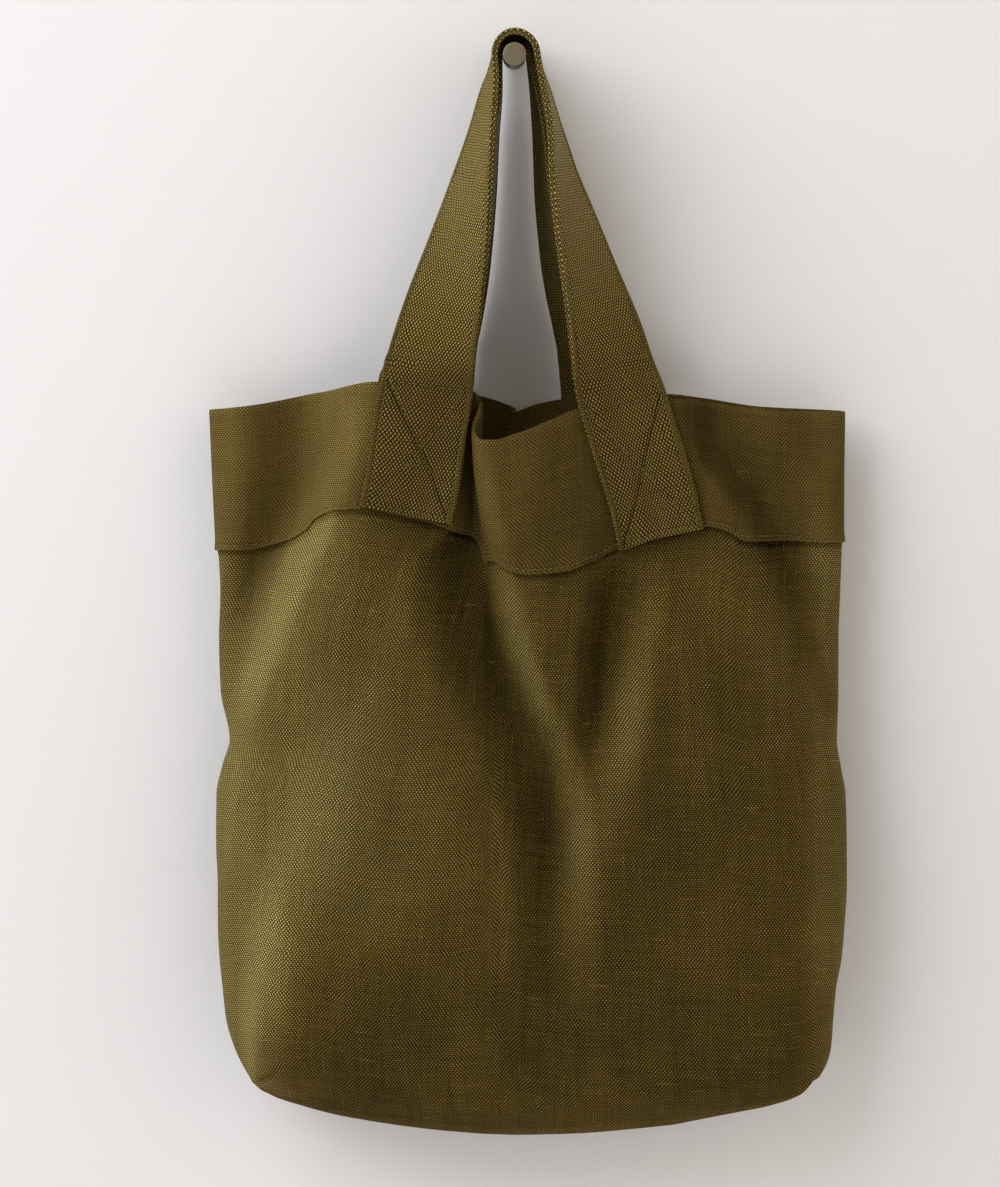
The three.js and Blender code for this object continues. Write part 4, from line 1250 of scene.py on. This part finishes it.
class StrapFrame:
    # places on a strap by their distance along it, across it and above its middle
    def __init__(self, path, isBack):
        self.isBack = isBack
        centre, turn, side = path[:, :3], path[:, 3], path[:, 5]
        self.run = lengthsAlong(centre, 0)
        self.total = self.run[-1]
        facing = 1 if isBack else -1
        along = unit(np.gradient(centre, axis=0))
        width = np.stack([side * np.sin(turn), facing * np.cos(turn), 0 * turn], axis=-1)
        width = unit(width - along * (width * along).sum(axis=-1, keepdims=True))
        normal = np.cross(width, along) * -facing
        flat = unit(along * (1, 0, 1))
        self.columns = np.concatenate([path[:, :5], width, normal, flat], axis=1)

    def stations(self):
        half = self.total / 2
        low = np.array(lipSteps)
        reach = strap["sewnReach"]
        sewn = np.arange(low[-1] + strap["afterLip"], reach, strap["sewnStep"])
        free = np.linspace(reach, half, int((half - reach) / strap["freeStep"]))
        first = np.concatenate([low, sewn, free])
        return np.concatenate([first, self.total - first[-2::-1]])

    def places(self, at, across, lift):
        # at has a value per row; across and lift a row for each and a column per place
        rows = np.stack([np.interp(at, self.run, column) for column in self.columns.T], axis=-1)
        centre, turn, sewn = rows[:, None, :3], rows[:, None, 3], rows[:, None, 4, None]
        width, normal, flat = rows[:, None, 5:8], rows[:, None, 8:11], rows[:, None, 11:14]
        free = centre + unit(width) * across[..., None] + unit(normal) * lift[..., None]
        reach = across * np.sin(np.maximum(turn, strap["leastTurn"]))
        x = centre[..., 0] + reach * flat[..., 2]
        z = centre[..., 2] - reach * flat[..., 0]
        onCloth, clothNormal = clothAbove(self.isBack, x, z, strap["patchOut"] + lift)
        return mix(free, onCloth, sewn), unit(mix(unit(normal) + 0 * clothNormal, clothNormal, sewn))


def strapSection():
    # outline of the strap's section as distances across and in from the edge, starting on its face
    half = strap["width"] / 2
    steps = np.array(lipSteps)
    flat = half - lipProfile[-1]["in"]
    middle = np.linspace(flat, -flat, strap["middlePlaces"])
    face = np.concatenate([half - steps, middle, steps[::-1] - half])
    notch = [(half - inward, rise) for inward, rise in edgeNotch]
    across = list(face) + [-a for a, _ in notch] + list(face[::-1]) + [a for a, _ in notch]
    side = [1] * len(face) + [None] * 3 + [-1] * len(face) + [None] * 3
    rise = [0] * len(face) + [r for _, r in notch] + [0] * len(face) + [-r for _, r in notch]
    return np.array(across), side, np.array(rise)


def boxSink(fromEnd, across, boxTop):
    # how deep the stitched box pulls in the outer face of a sewn end
    half = strap["width"] / 2 - box["side"]
    tall = boxTop - box["foot"]
    slant = np.hypot(2 * half, tall)
    rise = fromEnd - box["foot"]
    down = (rise * 2 * half - (half - across) * tall) / slant
    up = (rise * 2 * half - (half + across) * tall) / slant
    top = fromEnd - boxTop + 0 * across
    within = (rise > 0) & (fromEnd < boxTop + box["overTop"]) & (np.abs(across) < half)
    lines = ((down, box["down"]), (up, box["up"]), (top, box["across"]))
    sink = np.max([hump(away, depth, 0, box["wide"]) for away, depth in lines], axis=0)
    return np.where(within, sink, 0)


def makeHandle(name, frame):
    at = frame.stations()
    fromEnd = np.minimum(at, frame.total - at)[:, None]
    across, side, rise = strapSection()
    count = len(across)
    half = strap["width"] / 2
    inward = np.minimum(half - np.abs(across)[None, :], fromEnd)
    lift = np.tile(rise, (len(at), 1))
    for k, face in enumerate(side):
        if face is not None:
            lift[:, k] = face * readAt(lipProfile, "in", inward[:, k], "half")
    outer = np.array([face == 1 for face in side])
    boxTop = np.where(at < frame.total / 2, box["top"]["left"], box["top"]["right"])[:, None]
    pressed = np.where(outer, boxSink(fromEnd, across[None, :], boxTop), 0)
    lift = lift - pressed
    r = strap["cornerRound"]
    cut = r - np.sqrt(np.maximum(0, r * r - np.maximum(0, r - fromEnd) ** 2))
    spread = across[None, :] * (half - cut) / half
    places, _ = frame.places(at, spread, lift)
    # painted highlights on the lips, painted shade in the stitch lines and the stitched box, and lighter
    # where it hangs free
    lightAndWear = hump(inward, *strap["lipHighlight"]) + hump(inward, *strap["lineShade"])
    lightAndWear = lightAndWear + strap["freeLighter"] * smooth(*strap["freeReach"], fromEnd)
    lightAndWear = lightAndWear + strap["pressedShade"] * pressed
    around = np.abs(np.diff(np.append(across, across[0])))
    atEdge = np.abs(across) > half - strap["smoothEdge"]
    around = around * np.where(atEdge | np.roll(atEdge, -1), strap["edgeFineness"], 1)
    u = np.tile(np.append(0, np.cumsum(around)), (len(at), 1))
    uv = np.stack([u, np.tile(at[:, None], (1, count + 1))], axis=-1)
    plan = MeshPlan()
    ids = plan.place(places, lightAndWear)
    plan.grid(closeRing(ids), uv, flip=frame.isBack)
    top = side.count(1)
    for row, flip in ((ids[0], frame.isBack), (ids[-1], not frame.isBack)):
        # ends: quads from the outer face down to the inner face, and the notched edges
        under = row[top + 3:2 * top + 3][::-1]
        quads = [[row[k + 1], row[k], under[k], under[k + 1]] for k in range(top - 1)]
        quads.append([*row[top:top + 3][::-1], row[top - 1], under[top - 1]][::-1])
        quads.append([row[0], *row[-3:][::-1], under[0]][::-1])
        for quad in quads:
            face = [int(p) for p in (quad[::-1] if flip else quad)]
            plan.corners([face], np.zeros((len(face), 2)))
    return plan.make(name, handleCanvas)


def makeHandleStitching(name, frame):
    plan = MeshPlan()
    edge = strap["width"] / 2 - box["side"]
    foot = box["foot"]

    def sewLine(at, across, height, face):
        lift = np.full((len(at), 1), face * height)
        places, normals = frame.places(at, across[:, None], lift)
        stitchRun(plan, places[:, 0], normals[:, 0] * face)

    for face in (1, -1):
        for side in (-1, 1):
            at = np.arange(foot, frame.total - foot, box["seamStep"])
            sewLine(at, np.full(len(at), side * edge), box["groove"], face)
    share = np.linspace(0, 1, box["places"])
    inner = mix(box["clear"], 1 - box["clear"], share)
    for end in ("left", "right"):
        boxTop = box["top"][end]
        # each line's two heights in the box, the way it runs, and how high its stitches lie
        for start, stop, lean, height in (
            (foot, foot, 1, "groove"), (boxTop, boxTop, 1, "topHigh"),
            (foot, boxTop, -1, "downHigh"), (foot, boxTop, 1, "upHigh"),
        ):
            at = mix(start, stop, share)
            across = lean * mix(-edge, edge, inner)
            sewLine(frame.total - at if end == "right" else at, across, box[height], 1)
    return plan.make(name, sewingThread)


frontFrame = StrapFrame(handlePath(legs["frontLeft"], legs["frontRight"], strap["frontArch"]), False)
backFrame = StrapFrame(handlePath(legs["backLeft"], legs["backRight"], strap["backArch"]), True)
frontHandle = makeHandle("front_handle_strap", frontFrame)
backHandle = makeHandle("back_handle_strap", backFrame)
frontStitching = makeHandleStitching("front_handle_stitching", frontFrame)
backStitching = makeHandleStitching("back_handle_stitching", backFrame)
print("handles made")


# Peg

peg = {
    "radius": 7.55, "length": 106.0, "bevel": 0.8, "bevelSteps": 6, "sides": 96,
    "capRadius": 0.6,  # share of the radius where the flat end's middle face begins
    "wallRow": 1.0,    # a row of points this near the wall
}


def makePeg():
    radius, length, bevel = peg["radius"], peg["length"], peg["bevel"]
    profile = [(peg["capRadius"] * radius, -length)]
    for angle in np.linspace(0, np.pi / 2, peg["bevelSteps"]):
        profile.append((radius - bevel * (1 - math.sin(angle)), -length + bevel * (1 - math.cos(angle))))
    profile += [(radius, -peg["wallRow"]), (radius, 0.0)]
    turns = 2 * np.pi * np.arange(peg["sides"]) / peg["sides"]
    plan = MeshPlan()
    rows = np.array([[(r * math.cos(a), y, r * math.sin(a)) for a in turns] for r, y in profile])
    ids = plan.place(rows)
    plan.grid(closeRing(ids), np.zeros((len(ids), peg["sides"] + 1, 2)))
    for row in (ids[0].tolist(), ids[-1].tolist()[::-1]):
        plan.corners([row], np.zeros((peg["sides"], 2)))
    return plan.make("wall_peg_bar", pegPaint, sharp=40)


pegBar = makePeg()
print("peg made")


# Stage: pale wall and floor

# matt emulsion paint: nothing shows but the soft light on it
stageLook = {
    "wall": "#e6e5e7", "floor": "#e2e1e2", "roughness": 0.9, "specular": 0.2,
    "wallY": 0.4, "floorZ": -1350, "reach": 9000,
}


def makeStage():
    far, low, wallY = stageLook["reach"], stageLook["floorZ"], stageLook["wallY"]
    planes = {
        "stage_wall": [(-far, wallY, low), (far, wallY, low), (far, wallY, far), (-far, wallY, far)],
        "stage_floor": [(-far, -far, low), (far, -far, low), (far, far, low), (-far, far, low)],
    }
    for name, corners in planes.items():
        material, tree = startMaterial(name + "Paint")
        colour = linearColour(stageLook[name.split("_")[1]])
        surface = addNode(
            tree, "BsdfPrincipled", {},
            {
                "Base Color": colour, "Roughness": stageLook["roughness"],
                "Specular IOR Level": stageLook["specular"],
            },
        )
        if name == "stage_wall":
            # seen from behind, the wall lets the bag's back show
            side = addNode(tree, "NewGeometry").outputs["Backfacing"]
            clear = addNode(tree, "BsdfTransparent")
            surface = addNode(tree, "MixShader", {}, {0: side, 1: surface, 2: clear})
        addNode(tree, "OutputMaterial", {}, {"Surface": surface})
        thing = makeMesh(name, corners, [(0, 1, 2, 3)], material)
        # the bag's back, close to the wall, still has light from behind
        thing.visible_shadow = name != "stage_wall"


makeStage()
print("stage made")


# Bodies and replaced nodes

pieces = [
    (bagBody, "bag_body", "body_canvas"),
    (topBand, "top_band", "band_canvas"),
    (frontHandle, "front_handle", "handle_canvas"),
    (backHandle, "back_handle", "handle_canvas"),
    (pegBar, "wall_peg", "peg_finish"),
]
for piece, node, slot in pieces:
    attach(piece, body)
    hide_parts(node)
sewing = [
    (bandStitching, "band_canvas"),
    (frontStitching, "handle_canvas"),
    (backStitching, "handle_canvas"),
]
for piece, slot in sewing:
    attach(piece, body)
